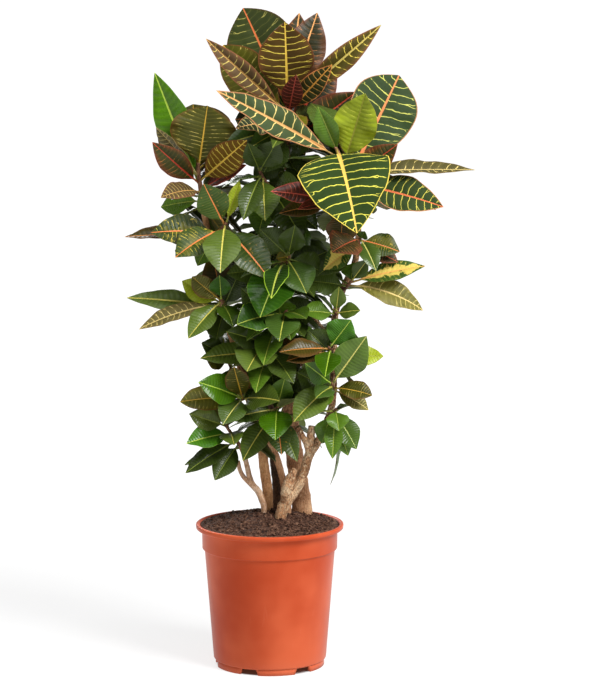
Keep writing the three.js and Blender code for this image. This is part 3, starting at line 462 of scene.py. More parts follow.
@dataclass(frozen=True)
class LeafSkin:
    """A leaf's glossy skin, which reads its pattern from the leaf's own attributes.

    The attribute lie holds each point's place across the blade from -1 to 1, its place along it from 0 to 1,
    and its distance from the midrib over the leaf's length. Ground, vein, rib and edge hold colours, each
    with a strength. Widths of veins are shares of the gap between two of them, widths of the midrib and the
    margin are shares of the leaf's length, and the depths of the relief are in metres.
    """

    name: str
    under: bool = False
    most_pairs: float = 17.0
    fewer_pairs: float = 6.5
    lean: float = 0.26
    curl: float = 0.25
    wander: float = 0.8
    wiggle: float = 0.08
    side_shift: float = 0.2
    vein_width: float = 0.078
    vein_taper: float = 0.036
    fork_width: float = 0.17
    hair: float = 0.11
    rib_width: float = 0.0165
    rib_taper: float = 0.0112
    margin: tuple[float, float] = (0.004, 0.011)
    depth: float = 0.0022
    under_depth: float = 0.0006
    dull: Colour = tone(196, 202, 170)
    faded: Colour = tone(176, 180, 162)
    fresh: Colour = tone(255, 255, 250)
    pale: Colour = tone(134, 136, 84)

    def material(self) -> bpy.types.Material:
        """Builds the skin.

        Returns:
            The material.
        """
        s = Shader(self.name)
        across, share, out = s.parts(s.attribute("lie"))
        seed, blush, flecks = s.parts(s.attribute("traits"))
        ground, vein, rib, edge = (s.attribute(name) for name in ("ground", "vein", "rib", "edge"))
        veining, ribbing = s.out(vein, "Alpha"), s.out(rib, "Alpha")
        # Where a point lies between two side veins, and which lines run over it.
        reach = abs(across)
        wander = s.noise(46.0, 2.0) - 0.5
        wiggle = s.noise(200.0, 2.0) - 0.5
        patches = s.noise(19.0, 3.0)
        grain = s.noise(420.0, 3.0)
        lean = share - out * (self.lean - out * self.curl) - reach * reach * reach * 0.03
        side = s.maths("SIGN", across) * self.side_shift
        pairs = self.most_pairs - veining * self.fewer_pairs
        place = s.maths("FRACT", lean * pairs + wander * self.wander + wiggle * self.wiggle + side + seed)
        apart = abs(place - 0.5)
        fork = s.step(reach, 0.5, 0.95) * s.step(s.noise(36.0, 1.0), 0.45, 0.5) * self.fork_width
        width = self.vein_width - reach * self.vein_taper
        line = 1 - s.step(abs(apart - fork), width * 0.4, width)
        gate = s.step(s.noise(80.0, 2.0), 0.68 - veining * 0.46, 0.76 - veining * 0.46)
        gate = s.maths("MAXIMUM", gate * s.step(veining, 0.0, 0.3), self.hair)
        line = line * gate * (1 - s.step(reach, 0.86, 0.98))
        rib_width = (self.rib_width - share * self.rib_taper) * (0.45 + ribbing * 0.7)
        rib_line = (1 - s.step(out, rib_width * 0.7, rib_width * 1.15)) * s.step(ribbing, 0.0, 0.4)
        margin = (1 - reach) * out / s.maths("MAXIMUM", reach, 0.25)
        rim = (1 - s.step(margin, *self.margin)) * s.out(edge, "Alpha")
        flush = s.step(reach + wander * 0.5, 0.95 - blush * 0.9, 1.2 - blush * 0.4) * blush
        spots = s.step(s.noise(190.0, 1.0), 0.66, 0.72) * flecks
        splash = s.noise(52.0, 3.0) + (0.5 - reach) * 0.25 + line * 0.12
        blotch = s.step(splash, 0.53, 0.58) * s.out(ground, "Alpha")
        # The colours lie over each other: the leaf's own shade of the ground, then all that is drawn on it.
        chance = s.maths("FRACT", seed * 7.31)
        shade = s.blend(1.0, s.blend(chance, self.faded, self.fresh), (LIGHT, LIGHT, LIGHT), "MULTIPLY")
        colour = s.blend(1.0, s.out(ground, "Color"), shade, "MULTIPLY")
        dulled = s.blend(1.0, colour, self.dull, "MULTIPLY")
        colour = s.blend(s.step(patches, 0.3, 0.75) * 0.45, colour, dulled)
        colour = s.blend(s.step(apart, 0.1, 0.45) * 0.12, colour, (0.0, 0.0, 0.0))
        colour = s.blend(flush * 0.8, colour, s.out(edge, "Color"))
        colour = s.blend(s.maths("MAXIMUM", blotch, spots), colour, s.out(vein, "Color"))
        colour = s.blend(line, colour, s.out(vein, "Color"))
        colour = s.blend(rim, colour, s.out(edge, "Color"))
        colour = s.blend(rib_line, colour, s.out(rib, "Color"))
        swell = s.maths("SINE", place * math.pi)
        if self.under:
            colour = s.blend(0.4, colour, self.pale)
            normal = s.relief(swell * swell * 0.5 + grain * 0.2, self.under_depth, 0.6)
            rough = 0.5 + grain * 0.15
            return s.finish(Base_Color=colour, Roughness=rough, Normal=normal, Specular_IOR_Level=0.1)
        ridges = (1 - swell) * (1 - reach * 0.4) * (0.06 + s.step(s.noise(30.0, 2.0), 0.35, 0.75) * 0.2)
        normal = s.relief(ridges + grain * 0.05 + patches * 2.3, self.depth, 0.9)
        rough = 0.16 + veining * 0.58 + grain * 0.06 + patches * 0.14
        return s.finish(Base_Color=colour, Roughness=rough, Normal=normal, Specular_IOR_Level=0.24)


@dataclass(frozen=True)
class StalkSkin:
    """A leaf stalk, in its midrib's colour over green."""

    green: Colour = tone(96, 104, 44)

    def material(self) -> bpy.types.Material:
        """Builds the stalk's skin.

        Returns:
            The material.
        """
        s = Shader("leaf stalk")
        rib = s.attribute("rib")
        grain = s.noise(600.0, 3.0)
        colour = s.blend(0.35 + grain * 0.3, self.green, s.out(rib, "Color"))
        rough = 0.45 + grain * 0.15
        normal = s.relief(grain, 0.0003, 0.5)
        return s.finish(Base_Color=colour, Roughness=rough, Normal=normal, Specular_IOR_Level=0.3)


def faces_of(verts: Iterable[bmesh.types.BMVert]) -> set[bmesh.types.BMFace]:
    """The faces round some points."""
    return {face for vert in verts for face in vert.link_faces}


def verts_in(
    parts: Iterable[bmesh.types.BMVert | bmesh.types.BMEdge | bmesh.types.BMFace]
) -> set[bmesh.types.BMVert]:
    """The points among an operator's results."""
    return {part for part in parts if isinstance(part, bmesh.types.BMVert)}


def placed(name: str, bm: bmesh.types.BMesh) -> bpy.types.Object:
    """Turns a mesh under way into an object in the scene.

    Args:
        name: the object's and the mesh's name.
        bm: the mesh under way, which is freed.

    Returns:
        The object.
    """
    mesh = bpy.data.meshes.new(name)
    bm.to_mesh(mesh)
    bm.free()
    thing = bpy.data.objects.new(name, mesh)
    bpy.context.scene.collection.objects.link(thing)
    return thing


@dataclass
class Piece:
    """A mesh under way, and the object that it becomes."""

    name: str
    bm: bmesh.types.BMesh = field(default_factory=bmesh.new)

    def done(self, materials: Sequence[bpy.types.Material], node: str) -> bpy.types.Object:
        """Makes the object, which stands for a node and rides where it does.

        Args:
            materials: one for each material index.
            node: the node that it stands for.

        Returns:
            The object.
        """
        for face in self.bm.faces:
            face.smooth = True
        thing = placed(self.name, self.bm)
        for material in materials:
            thing.data.materials.append(material)
        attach(thing, "root")
        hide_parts(node)
        return thing


EYE = Vector((43.0, -4000.0, 1007.0))  # the camera's place


def seen(x: float, z: float, y: float) -> Vector:
    """A point that is seen at (x, z) in the plane through the pot's axis, and lies y behind that plane."""
    return EYE + (Vector((x, 0.0, z)) - EYE) * ((y - EYE.y) / -EYE.y)


def shown(point: Vector) -> tuple[float, float]:
    """Where a point is seen in the plane through the pot's axis."""
    spot = EYE + (point - EYE) * (-EYE.y / (point.y - EYE.y))
    return spot.x, spot.z


def looking(right: float, upwards: float) -> Vector:
    """A unit vector that looks some degrees to the right of the front, and some degrees upwards."""
    turn, lift = math.radians(right), math.radians(upwards)
    return Vector((math.sin(turn) * math.cos(lift), -math.cos(turn) * math.cos(lift), math.sin(lift)))


def point_on(points: Sequence[Vector], share: float) -> Vector:
    """The point at a share of a line's length.

    Args:
        points: the line's points.
        share: from 0 to 1.

    Returns:
        The point.
    """
    spans = [(b - a).length for a, b in zip(points, points[1:])]
    left = share * sum(spans)
    for start, end, span in zip(points, points[1:], spans):
        if left <= span or end is points[-1]:
            return start.lerp(end, min(left / span, 1.0))
        left -= span
    return points[-1]


Row = tuple[float, float, float, float]
Sheet = tuple[list[Vector], list[tuple[int, ...]]]


def woven(rows: int, columns: int) -> list[tuple[int, ...]]:
    """The faces between rows of points, each row having one point more than the columns.

    Args:
        rows: how many rows of faces.
        columns: how many faces in a row.

    Returns:
        The faces, as the numbers of their points.
    """
    wide = columns + 1
    corners = [row * wide + column for row in range(rows) for column in range(columns)]
    return [(corner, corner + 1, corner + wide + 1, corner + wide) for corner in corners]


@dataclass(frozen=True)
class Limb:
    """A round, tapering stem along rows of (x seen, z seen, depth, radius).

    Its lumps, its roughness and the rings of its leaf scars are shares of its radius.
    """

    rows: tuple[Row, ...]
    sides: int = 20
    step: float = 2.2
    lumps: float = 0.07
    rough: float = 0.03
    lump_size: float = 9.0
    rough_size: float = 3.1
    scar_gap: float = 14.0
    scar: float = 0.05

    def centres(self) -> list[tuple[Vector, float]]:
        """Places and radii at even steps along a smooth curve through the rows.

        Returns:
            The places with their radii, from the foot up.
        """
        knots = [(seen(x, z, y), radius) for x, z, y, radius in self.rows]
        knots = [knots[0], *knots, knots[-1]]
        found = []
        for (a, ra), (b, rb), (c, rc), (d, rd) in zip(knots, knots[1:], knots[2:], knots[3:]):
            count = max(round((c - b).length / self.step), 2)
            for i in range(count):
                t = i / count
                weights = (
                    (-t + 2 * t * t - t**3) / 2,
                    (2 - 5 * t * t + 3 * t**3) / 2,
                    (t + 4 * t * t - 3 * t**3) / 2,
                    (t**3 - t * t) / 2,
                )
                centre = a * weights[0] + b * weights[1] + c * weights[2] + d * weights[3]
                radius = ra * weights[0] + rb * weights[1] + rc * weights[2] + rd * weights[3]
                found.append((centre, radius))
        found.append(knots[-1])
        return found

    def sheet(self) -> Sheet:
        """The stem's skin as a coarse sheet.

        Returns:
            Its points and faces.
        """
        sides = 6
        centres = self.centres()[::3]
        frames = self.frames([centre for centre, _ in centres])
        turns = [2 * math.pi * k / sides for k in range(sides + 1)]
        points = [
            centre + (side * math.cos(turn) + across * math.sin(turn)) * radius
            for (centre, radius), (side, across) in zip(centres, frames)
            for turn in turns
        ]
        return points, woven(len(centres) - 1, sides)

    def grow(self, bm: bmesh.types.BMesh, skin: int = 0, end: int = 0) -> None:
        """Adds the stem to a mesh.

        Args:
            bm: the mesh.
            skin: the bark's material index.
            end: the far end's material index.
        """
        centres = self.centres()
        spans = len(centres) - 1
        tube = bmesh.ops.create_cone(
            bm, cap_ends=True, segments=self.sides, radius1=1.0, radius2=1.0, depth=1.0
        )["verts"]
        lengthways = {
            edge for vert in tube for edge in vert.link_edges
            if abs(edge.verts[0].co.z - edge.verts[1].co.z) > 0.5
        }
        inner = verts_in(bmesh.ops.subdivide_edges(bm, edges=list(lengthways), cuts=spans - 1)["geom_inner"])
        verts = inner | {edge.other_vert(vert) for vert in inner for edge in vert.link_edges}
        for face in faces_of(verts):
            face.material_index = end if len(face.verts) > 4 and face.calc_center_median().z > 0 else skin
        frames = self.frames([centre for centre, _ in centres])
        for vert in verts:
            ring = round((vert.co.z + 0.5) * spans)
            centre, radius = centres[ring]
            side, across = frames[ring]
            out = side * vert.co.x + across * vert.co.y
            along = ring * self.step % self.scar_gap / self.scar_gap
            point = centre + out * radius
            lump = noise.noise(point / self.lump_size) * self.lumps
            lump += noise.noise(point / self.rough_size) * self.rough
            scar = self.scar * math.exp(-((along - 0.5) * 9.0) ** 2)
            vert.co = (centre + out * radius * (1 + lump + scar)) * MM

    @staticmethod
    def frames(centres: Sequence[Vector]) -> list[tuple[Vector, Vector]]:
        """Two directions square to the line at each centre, turned as little as may be on the way.

        Args:
            centres: the line's points.

        Returns:
            Both directions at each point.
        """
        side = Vector((1.0, 0.0, 0.0))
        found = []
        for before, after in zip([centres[0], *centres[:-1]], [*centres[1:], centres[-1]]):
            along = (after - before).normalized()
            side = (side - along * side.dot(along)).normalized()
            found.append((side, along.cross(side)))
        return found


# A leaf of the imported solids: its stalk's share of it and its stalk's width, its blade's thickness, the
# height and number of its edge waves, how far one edge's waves are ahead, and how far from the stem's line
# it starts.
STALK_SHARE = 0.12
STALK = 2.6
BLADE = 0.9
WAVE = 0.035
WAVES = 2.3
EDGE_PHASE = 1.9
ROOT = 1.3
# What a leaf tries to find room: depths, moves sideways and upwards with a size, and more or less bend.
DEPTHS = (0, -14, 14, -28, 28, -44, 44)
SHIFTS = (
    (0, 0, 1), (0, -7, 1), (0, 7, 1), (7, 0, 1), (-7, 0, 1), (0, 0, 0.85), (10, -12, 1), (-10, 12, 0.9),
    (0, -20, 0.85), (0, 20, 0.85), (18, 0, 0.8), (-18, 0, 0.8), (0, -10, 0.65),
)
BENDS = (0, 16, -16)


@dataclass(frozen=True)
class Leaf:
    """One leaf, from its foot on the stem to its tip, with the way its upper face looks.

    Its midrib bends and its halves fold up by so many degrees, and its edges wave from a phase on.
    """

    foot: Vector
    tip: Vector
    width: float
    face: Vector
    bend: float
    fold: float
    kind: Kind
    phase: float

    # Shared by all leaves: how many rows and columns of faces a small and a large blade have, and the length
    # from which it is large, then the finer blade's own measures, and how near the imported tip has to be.
    rows = (18, 26)
    columns = (10, 14)
    large = 85.0
    thickness = 0.5
    ripple = 0.016
    ripples = 5.0
    twist = 9.0
    fuller = 1.04
    channel = 0.6
    keel = 0.9
    stalk_radii = (1.7, 1.15)
    stalk_overlap = 0.03
    near = 0.06

    def half(self, blade: float) -> float:
        """Half the blade's width at a share of the blade's length.

        Args:
            blade: the share, from 0 to 1.

        Returns:
            Half the width.
        """
        if not 0 < blade < 1:
            return STALK / 2 if blade <= 0 else 0.0
        finish = self.kind.value
        low = blade < finish.widest
        reach = abs(blade - finish.widest) / (finish.widest if low else 1 - finish.widest)
        power = 1.9 if low else 1.65 + 1.3 * finish.blunt
        half = self.width / 2 * self.fuller * (1 - reach**power)
        return max(half, STALK / 2 if blade < 0.02 else 0.0)

    def spine(self, share: float) -> tuple[Vector, Vector, Vector]:
        """The midrib's place and directions at a share of the leaf's length.

        Args:
            share: from 0 at the foot to 1 at the tip.

        Returns:
            The place, the upper side's direction and the right's.
        """
        chord = self.tip - self.foot
        along = chord.normalized()
        up = (self.face - along * self.face.dot(along)).normalized()
        bend = math.radians(self.bend or 0.5)
        radius = chord.length / (2 * math.sin(bend / 2))
        angle = bend * (share - 0.5)
        middle = self.foot + along * (chord.length / 2 + radius * math.sin(angle))
        middle += up * (radius * (math.cos(angle) - math.cos(bend / 2)))
        return middle, up * math.cos(angle) + along * math.sin(angle), up.cross(along)

    def tries(self) -> Iterator["Leaf"]:
        """The small changes that the leaf may have been given to find room, in order.

        Returns:
            The leaf with each change.
        """
        for sideways, upwards, size in SHIFTS:
            for bend in BENDS:
                for back in DEPTHS:
                    tip = self.foot + (self.tip + Vector((sideways, back, upwards)) - self.foot) * size
                    yield self.changed(tip, self.bend + bend, self.width * size)

    def changed(self, tip: Vector, bend: float, width: float) -> "Leaf":
        """The leaf with another tip, bend and width."""
        return Leaf(self.foot, tip, width, self.face, bend, self.fold, self.kind, self.phase)

    def settled(self, solid: kdtree.KDTree) -> "Leaf | None":
        """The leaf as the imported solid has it, found by the two points of its tip.

        Args:
            solid: the node's points.

        Returns:
            The leaf, or None if it found no room there.
        """
        for leaf in self.tries():
            middle, normal, _ = leaf.spine(1.0)
            ends = [(middle + normal * (sign * BLADE / 2)) * MM for sign in (-1, 1)]
            if all(solid.find(end)[2] < self.near * MM for end in ends):
                return leaf
        return None

    def sheet(self, lift: float = 0.0) -> Sheet:
        """The blade as a coarse sheet.

        Args:
            lift: how far above the blade, in millimetres.

        Returns:
            Its points and faces.
        """
        columns, rows = 4, 8
        points = []
        for row in range(rows + 1):
            blade = row / rows
            _, normal, _ = self.spine(STALK_SHARE + blade * (1 - STALK_SHARE))
            places = (self.place(2 * column / columns - 1, blade) for column in range(columns + 1))
            points += [place + normal * lift for place in places]
        return points, woven(rows, columns)

    def grow(self, bm: bmesh.types.BMesh, seed: float) -> None:
        """Adds the blade, its midrib and its stalk to a mesh.

        Args:
            bm: the mesh.
            seed: what sets this leaf's pattern apart from the next one's.
        """
        lie = bm.verts.layers.float_vector["lie"]
        length = (self.tip - self.foot).length
        size = int(length > self.large)
        columns, rows = self.columns[size], self.rows[size]
        grid = bmesh.ops.create_grid(bm, x_segments=columns, y_segments=rows, size=1.0)["verts"]
        for vert in grid:
            across = -math.copysign(abs(vert.co.x) ** 1.3, vert.co.x)
            blade = (vert.co.y + 1) / 2
            blade = (blade + (1 - math.cos(math.pi * blade)) / 2) / 2
            vert[lie] = (across, blade, abs(across) * self.half(blade) / length)
            vert.co = self.place(across, blade) * MM
        ends = [vert for vert in grid if vert[lie].y > 0.9999]
        bmesh.ops.remove_doubles(bm, verts=ends, dist=0.1 * MM)
        upper_verts = {vert for vert in grid if vert.is_valid}
        upper = list(faces_of(upper_verts))
        shell = bmesh.ops.solidify(bm, geom=upper, thickness=self.thickness * MM)["geom"]
        lower_verts = verts_in(shell) - upper_verts
        for vert in lower_verts:
            self.thicken(vert, lie)
        for face in faces_of(lower_verts):
            face.material_index = 1
            if any(vert in upper_verts for vert in face.verts):
                for edge in face.edges:
                    edge.smooth = len({vert in upper_verts for vert in edge.verts}) > 1
        self.paint(bm, upper_verts | lower_verts | self.add_stalk(bm), seed)

    def place(self, across: float, blade: float) -> Vector:
        """The place of a point of the blade, with its fold, twist, waves and midrib channel.

        Args:
            across: from -1 at the left edge to 1 at the right one.
            blade: from 0 at its foot to 1 at its tip.

        Returns:
            The place.
        """
        middle, normal, side = self.spine(STALK_SHARE + blade * (1 - STALK_SHARE))
        reach = abs(across)
        half = self.half(blade)
        fold = math.radians(self.fold * (1.25 - 0.5 * blade))
        twist = math.radians(self.twist) * math.sin(self.phase * 1.7) * (blade - 0.3)
        turn = 2 * math.pi * WAVES * blade + self.phase + (EDGE_PHASE if across > 0 else 0.0)
        small = 2 * math.pi * self.ripples * blade + 1.7 * self.phase + (2.6 if across > 0 else 0.0)
        swing = math.sin(math.pi * min(max(blade, 0.0), 1.0)) * self.width * self.kind.value.wavy
        height = half * math.sin(fold) * reach * (1.7 - reach) + WAVE * swing * math.sin(turn) * reach**1.6
        height += self.ripple * swing * math.sin(small) * reach**3 + across * half * math.sin(twist)
        channel = self.channel * (1 - smooth(0.0, 0.2, reach)) * (1 - blade)
        beside = side * (across * half * math.cos(fold))
        return middle + beside + normal * (height + self.thickness / 2 - channel)

    def thicken(self, vert: bmesh.types.BMVert, lie: bmesh.types.BMLayerItem) -> None:
        """Lowers a point of the underside where the midrib stands out.

        Args:
            vert: the point.
            lie: the layer that holds where it lies on the blade.
        """
        across, blade, _ = vert[lie]
        _, normal, _ = self.spine(STALK_SHARE + blade * (1 - STALK_SHARE))
        keel = (1 - smooth(0.0, 0.16, abs(across))) * (1 - blade) * self.keel
        vert.co -= normal * (keel * MM)

    def add_stalk(self, bm: bmesh.types.BMesh) -> set[bmesh.types.BMVert]:
        """Adds the stalk, from the stem to a little along the blade.

        Args:
            bm: the mesh.

        Returns:
            The stalk's points.
        """
        start, _, side = self.spine(0.0)
        end, normal, _ = self.spine(STALK_SHARE + self.stalk_overlap)
        end = end - normal * 0.5
        axis = (end - start).normalized()
        turn = Matrix((side, axis.cross(side), axis)).transposed().to_4x4()
        place = Matrix.Translation((start + end) / 2 * MM) @ turn
        length = (end - start).length * MM
        low, high = (radius * MM for radius in self.stalk_radii)
        stalk = bmesh.ops.create_cone(
            bm, cap_ends=True, segments=8, radius1=low, radius2=high, depth=length, matrix=place
        )["verts"]
        for face in faces_of(stalk):
            face.material_index = 2
        return set(stalk)

    def paint(self, bm: bmesh.types.BMesh, verts: set[bmesh.types.BMVert], seed: float) -> None:
        """Writes the leaf's colours, and its own share of chance, on its points.

        Args:
            bm: the mesh.
            verts: the leaf's points.
            seed: the leaf's own share of chance.
        """
        finish, layers = self.kind.value, bm.verts.layers
        colours = {
            "ground": (*tone(*finish.ground), finish.mottling),
            "vein": (*tone(*finish.vein), finish.veining),
            "rib": (*tone(*finish.rib), finish.ribbing),
            "edge": (*tone(*finish.edge), finish.edging),
        }
        for vert in verts:
            vert[layers.float_vector["traits"]] = (seed, finish.blush, finish.flecks)
            for name, colour in colours.items():
                vert[layers.float_color[name]] = colour


@dataclass(frozen=True)
class More:
    """Leaves that stand round a shoot by the golden angle: how many, and from where along it.

    Then come their reach and width, the lowest one's and the highest one's lift, and the way that they grow
    towards with their spread about it, in degrees to the right of the front.
    """

    count: int
    start: float
    reach: float
    width: float
    low: float
    high: float
    toward: float
    spread: float
    kinds: tuple[Kind, ...] = (Kind.DEEP, Kind.GREEN)


MULTIPLIER, MODULUS = 16807, 2147483647  # of every row of chance


def drawer(seed: int) -> Iterator[float]:
    """A repeatable row of numbers between 0 and 1.

    Args:
        seed: where the row starts.

    Returns:
        The numbers, without end.
    """
    state = seed
    while True:
        state = state * MULTIPLIER % MODULUS
        yield state / MODULUS


class Crowd:
    """The leaves and stems that stand already, which a further leaf keeps clear of and doesn't hide.

    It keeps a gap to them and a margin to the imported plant's box, and no more than a share of its points may
    hide something.
    """

    gap = 3.0
    hiding = 0.12
    margin = 3.0

    def __init__(self) -> None:
        """Starts with nothing."""
        self.points: list[Vector] = []
        self.faces: list[tuple[int, ...]] = []
        self.tree: BVHTree | None = None

    def add(self, sheet: Sheet) -> None:
        """Takes in a sheet.

        Args:
            sheet: its points and faces.
        """
        first = len(self.points)
        points, faces = sheet
        self.points += points
        self.faces += [tuple(first + corner for corner in face) for face in faces]
        self.tree = None

    def has_room(self, leaf: Leaf) -> bool:
        """Tells whether a further leaf stands inside the foliage's outline and clear of all others.

        Args:
            leaf: the further leaf.

        Returns:
            True if it does.
        """
        if not all(inside(point, self.margin) for point in leaf.sheet()[0]):
            return False
        if self.tree is None:
            self.tree = BVHTree.FromPolygons(self.points, self.faces)
        lifts = (-self.gap, 0.0, self.gap)
        return not any(self.tree.overlap(BVHTree.FromPolygons(*leaf.sheet(lift))) for lift in lifts)

    def stays_behind(self, leaf: Leaf) -> bool:
        """Tells whether a leaf is in front of hardly anything, as the eye sees it.

        Args:
            leaf: the leaf.

        Returns:
            True if it is.
        """
        points, _ = leaf.sheet()
        hiding = 0
        for point in points:
            away = (point - EYE).normalized()
            open_in_front = self.tree.ray_cast(point - away, -away)[0] is None
            if open_in_front and self.tree.ray_cast(point + away, away)[0]:
                hiding += 1
        return hiding <= self.hiding * len(points)


def inside(point: Vector, margin: float) -> bool:
    """Tells whether a point is seen inside the foliage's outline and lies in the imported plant's box.

    Args:
        point: the point.
        margin: how far inside the box it has to lie.

    Returns:
        True if it is.
    """
    x, z = shown(point)
    low, high = (corner / MM for corner in CAD_BOX)
    if not all(a + margin < value < b - margin for a, value, b in zip(low, point, high)):
        return False
    for (below, left, right), (above, left_above, right_above) in zip(OUTLINE, OUTLINE[1:]):
        if below <= z < above:
            share = (z - below) / (above - below)
            return left + (left_above - left) * share < x < right + (right_above - right) * share
    return False


LeafRow = tuple[float, float, float, float, float, float, float, float, float, Kind]


@dataclass(frozen=True)
class Shoot:
    """A leafy shoot: its stem's rows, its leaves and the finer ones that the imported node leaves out.

    A leaf's row is its place along the stem, its tip's place seen sideways and upwards and its depth, the
    blade's width, the way its face looks sideways and upwards, its bend, its fold and its kind.
    """

    name: str
    stem: tuple[Row, ...]
    placed: tuple[LeafRow, ...]
    more: More | None = None
    finer: tuple[LeafRow, ...] = ()

    # The golden angle, where each shoot's own chance starts, and for the further leaves their spacing along
    # the stem, their reach low and high on the plant and the heights between which it grows, their width over
    # their length, their lift with its rise along the stem and its chance, and the sizes and turns to try.
    golden = 137.508
    seed = 977
    seed_step = 131
    fill_gap = 4.5
    fill_reach = (84.0, 118.0)
    fill_heights = (560.0, 660.0)
    fill_slim = 0.5
    fill_lift = (-60, 95, 25)
    fill_tries = ((1.0, 0.8, 0.62, 0.46), (0, 22, -22), (0, 24, -24))

    @staticmethod
    def phase(rank: int, index: int) -> float:
        """Where the waves of a shoot's leaf start."""
        return 2.4 * rank + 1.3 * index

    def line(self) -> list[Vector]:
        """The stem's points."""
        return [seen(x, z, y) for x, z, y, _ in self.stem]

    def leaves(self, index: int) -> list[Leaf]:
        """The leaves as they were meant, before they found room.

        Args:
            index: the shoot's place in the plant's list.

        Returns:
            The leaves.
        """
        line = self.line()
        found = self.rowed(self.placed, index, line)
        return found + (self.ruled(index, line) if self.more else [])

    def rowed(self, rows: Sequence[LeafRow], index: int, line: list[Vector]) -> list[Leaf]:
        """The leaves that have rows of their own.

        Args:
            rows: the leaves' rows.
            index: the shoot's place in the plant's list.
            line: the stem's points.

        Returns:
            The leaves.
        """
        found = []
        for rank, (place, x, z, y, width, right, upwards, bend, fold, kind) in enumerate(rows):
            middle, tip = point_on(line, place), seen(x, z, y)
            foot = middle + (tip - middle).normalized() * ROOT
            face = looking(right, upwards)
            found.append(Leaf(foot, tip, width, face, bend, fold, kind, self.phase(rank, index)))
        return found

    def ruled(self, index: int, line: list[Vector]) -> list[Leaf]:
        """The leaves that stand by rule.

        Args:
            index: the shoot's place in the plant's list.
            line: the stem's points.

        Returns:
            The leaves.
        """
        more = self.more
        draw = drawer(self.seed + self.seed_step * index)
        found = []
        for rank in range(more.count):
            height = (rank + 0.5) / more.count  # from the lowest leaf's to the highest one's
            middle = point_on(line, more.start + (0.98 - more.start) * height)
            turn = more.toward + (rank * self.golden % 360 / 360 - 0.5) * more.spread
            lift = more.low + (more.high - more.low) * height
            tip = middle + looking(turn, lift) * (more.reach * (0.82 + 0.36 * next(draw)))
            width = more.width * (0.85 + 0.3 * next(draw))
            bend = 22 + 26 * next(draw)
            fold = 10 + 8 * next(draw)
            foot = middle + (tip - middle).normalized() * ROOT
            face = UP + looking(turn, 0) * 0.15
            kind = more.kinds[rank % len(more.kinds)]
            found.append(Leaf(foot, tip, width, face, bend, fold, kind, self.phase(rank, index)))
        return found

    def grown(self, index: int) -> list[Leaf]:
        """The shoot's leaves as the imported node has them.

        Args:
            index: the shoot's place in the plant's list.

        Returns:
            The leaves that found room there.
        """
        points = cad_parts[self.name].data.vertices
        solid = kdtree.KDTree(len(points))
        for point in points:
            solid.insert(point.co, point.index)
        solid.balance()
        wanted = self.leaves(index)
        found = [leaf for leaf in (leaf.settled(solid) for leaf in wanted) if leaf]
        log.info("%s: %d of %d leaves", self.name, len(found), len(wanted))
        return found

    def fill(self, index: int, crowd: Crowd) -> list[Leaf]:
        """The smaller leaves that stand between and behind the others, wherever they have room.

        Args:
            index: the shoot's place in the plant's list.
            crowd: what stands already; the new leaves are added to it.

        Returns:
            The new leaves.
        """
        line = self.line()
        length = sum((b - a).length for a, b in zip(line, line[1:]))
        draw = drawer(self.seed * 3 + self.seed_step * index)
        kinds = self.more.kinds if self.more else (Kind.GREEN, Kind.DEEP, Kind.TEAL)
        high = smooth(*self.fill_heights, line[0].z)
        longest = self.fill_reach[0] + (self.fill_reach[1] - self.fill_reach[0]) * high
        low, rise, chance = self.fill_lift
        found = []
        for wanted in self.rowed(self.finer, index, line):
            leaf = next((leaf for leaf in wanted.tries() if crowd.has_room(leaf)), None)
            if leaf:
                crowd.add(leaf.sheet())
                found.append(leaf)
        for rank in range(int(length / self.fill_gap)):
            height = (rank + 0.5) * self.fill_gap / length
            middle = point_on(line, 0.04 + 0.94 * height)
            turn, lift = rank * self.golden + 70 * index, low + rise * height + chance * next(draw)
            reach, phase = longest * (0.8 + 0.4 * next(draw)), 6.28 * next(draw)  # any point of a wave
            for size, up, aside in itertools.product(*self.fill_tries):
                toward = looking(turn + aside, lift + up)
                foot, tip = middle + toward * ROOT, middle + toward * reach * size
                width = reach * size * self.fill_slim
                face = UP + looking(turn, 0) * 0.25
                leaf = Leaf(foot, tip, width, face, 30, 14, kinds[rank % len(kinds)], phase)
                if crowd.has_room(leaf) and crowd.stays_behind(leaf):
                    crowd.add(leaf.sheet())
                    found.append(leaf)
                    break
        return found

    def build(self, leaves: Sequence[Leaf], materials: Sequence[bpy.types.Material], index: int) -> None:
        """Builds the shoot in place of its node.

        Args:
            leaves: its leaves.
            materials: the leaf's upper and under skin, the stalk's and the stem's.
            index: the shoot's place in the plant's list.
        """
        piece = Piece(f"leafy_{self.name}")
        layers = piece.bm.verts.layers
        for name in ("lie", "traits"):
            layers.float_vector.new(name)
        for name in ("ground", "vein", "rib", "edge"):
            layers.float_color.new(name)
        for rank, leaf in enumerate(leaves):
            leaf.grow(piece.bm, (rank * 0.37 + index * 0.71) % 1.0)
        Limb(self.stem, sides=10, step=3.0, scar_gap=10.0, scar=0.1).grow(piece.bm, skin=3, end=3)
        piece.done(materials, self.name)


@dataclass(frozen=True)
class Stem:
    """A woody stem with its branches and cut stubs."""

    name: str
    bark: Bark
    rows: tuple[Row, ...]
    branches: tuple[tuple[Row, ...], ...] = ()
    lumps: float = 0.07
    rough: float = 0.03
    scar_gap: float = 14.0

    def build(self) -> None:
        """Builds the stem in place of its node."""
        piece = Piece(f"barked_{self.name}")
        ways = {"lumps": self.lumps, "rough": self.rough, "scar_gap": self.scar_gap}
        Limb(self.rows, **ways).grow(piece.bm, end=1)
        for rows in self.branches:
            Limb(rows, sides=14, step=1.8, **ways).grow(piece.bm, end=1)
        piece.done([self.bark.material(), CUT.material()], self.name)


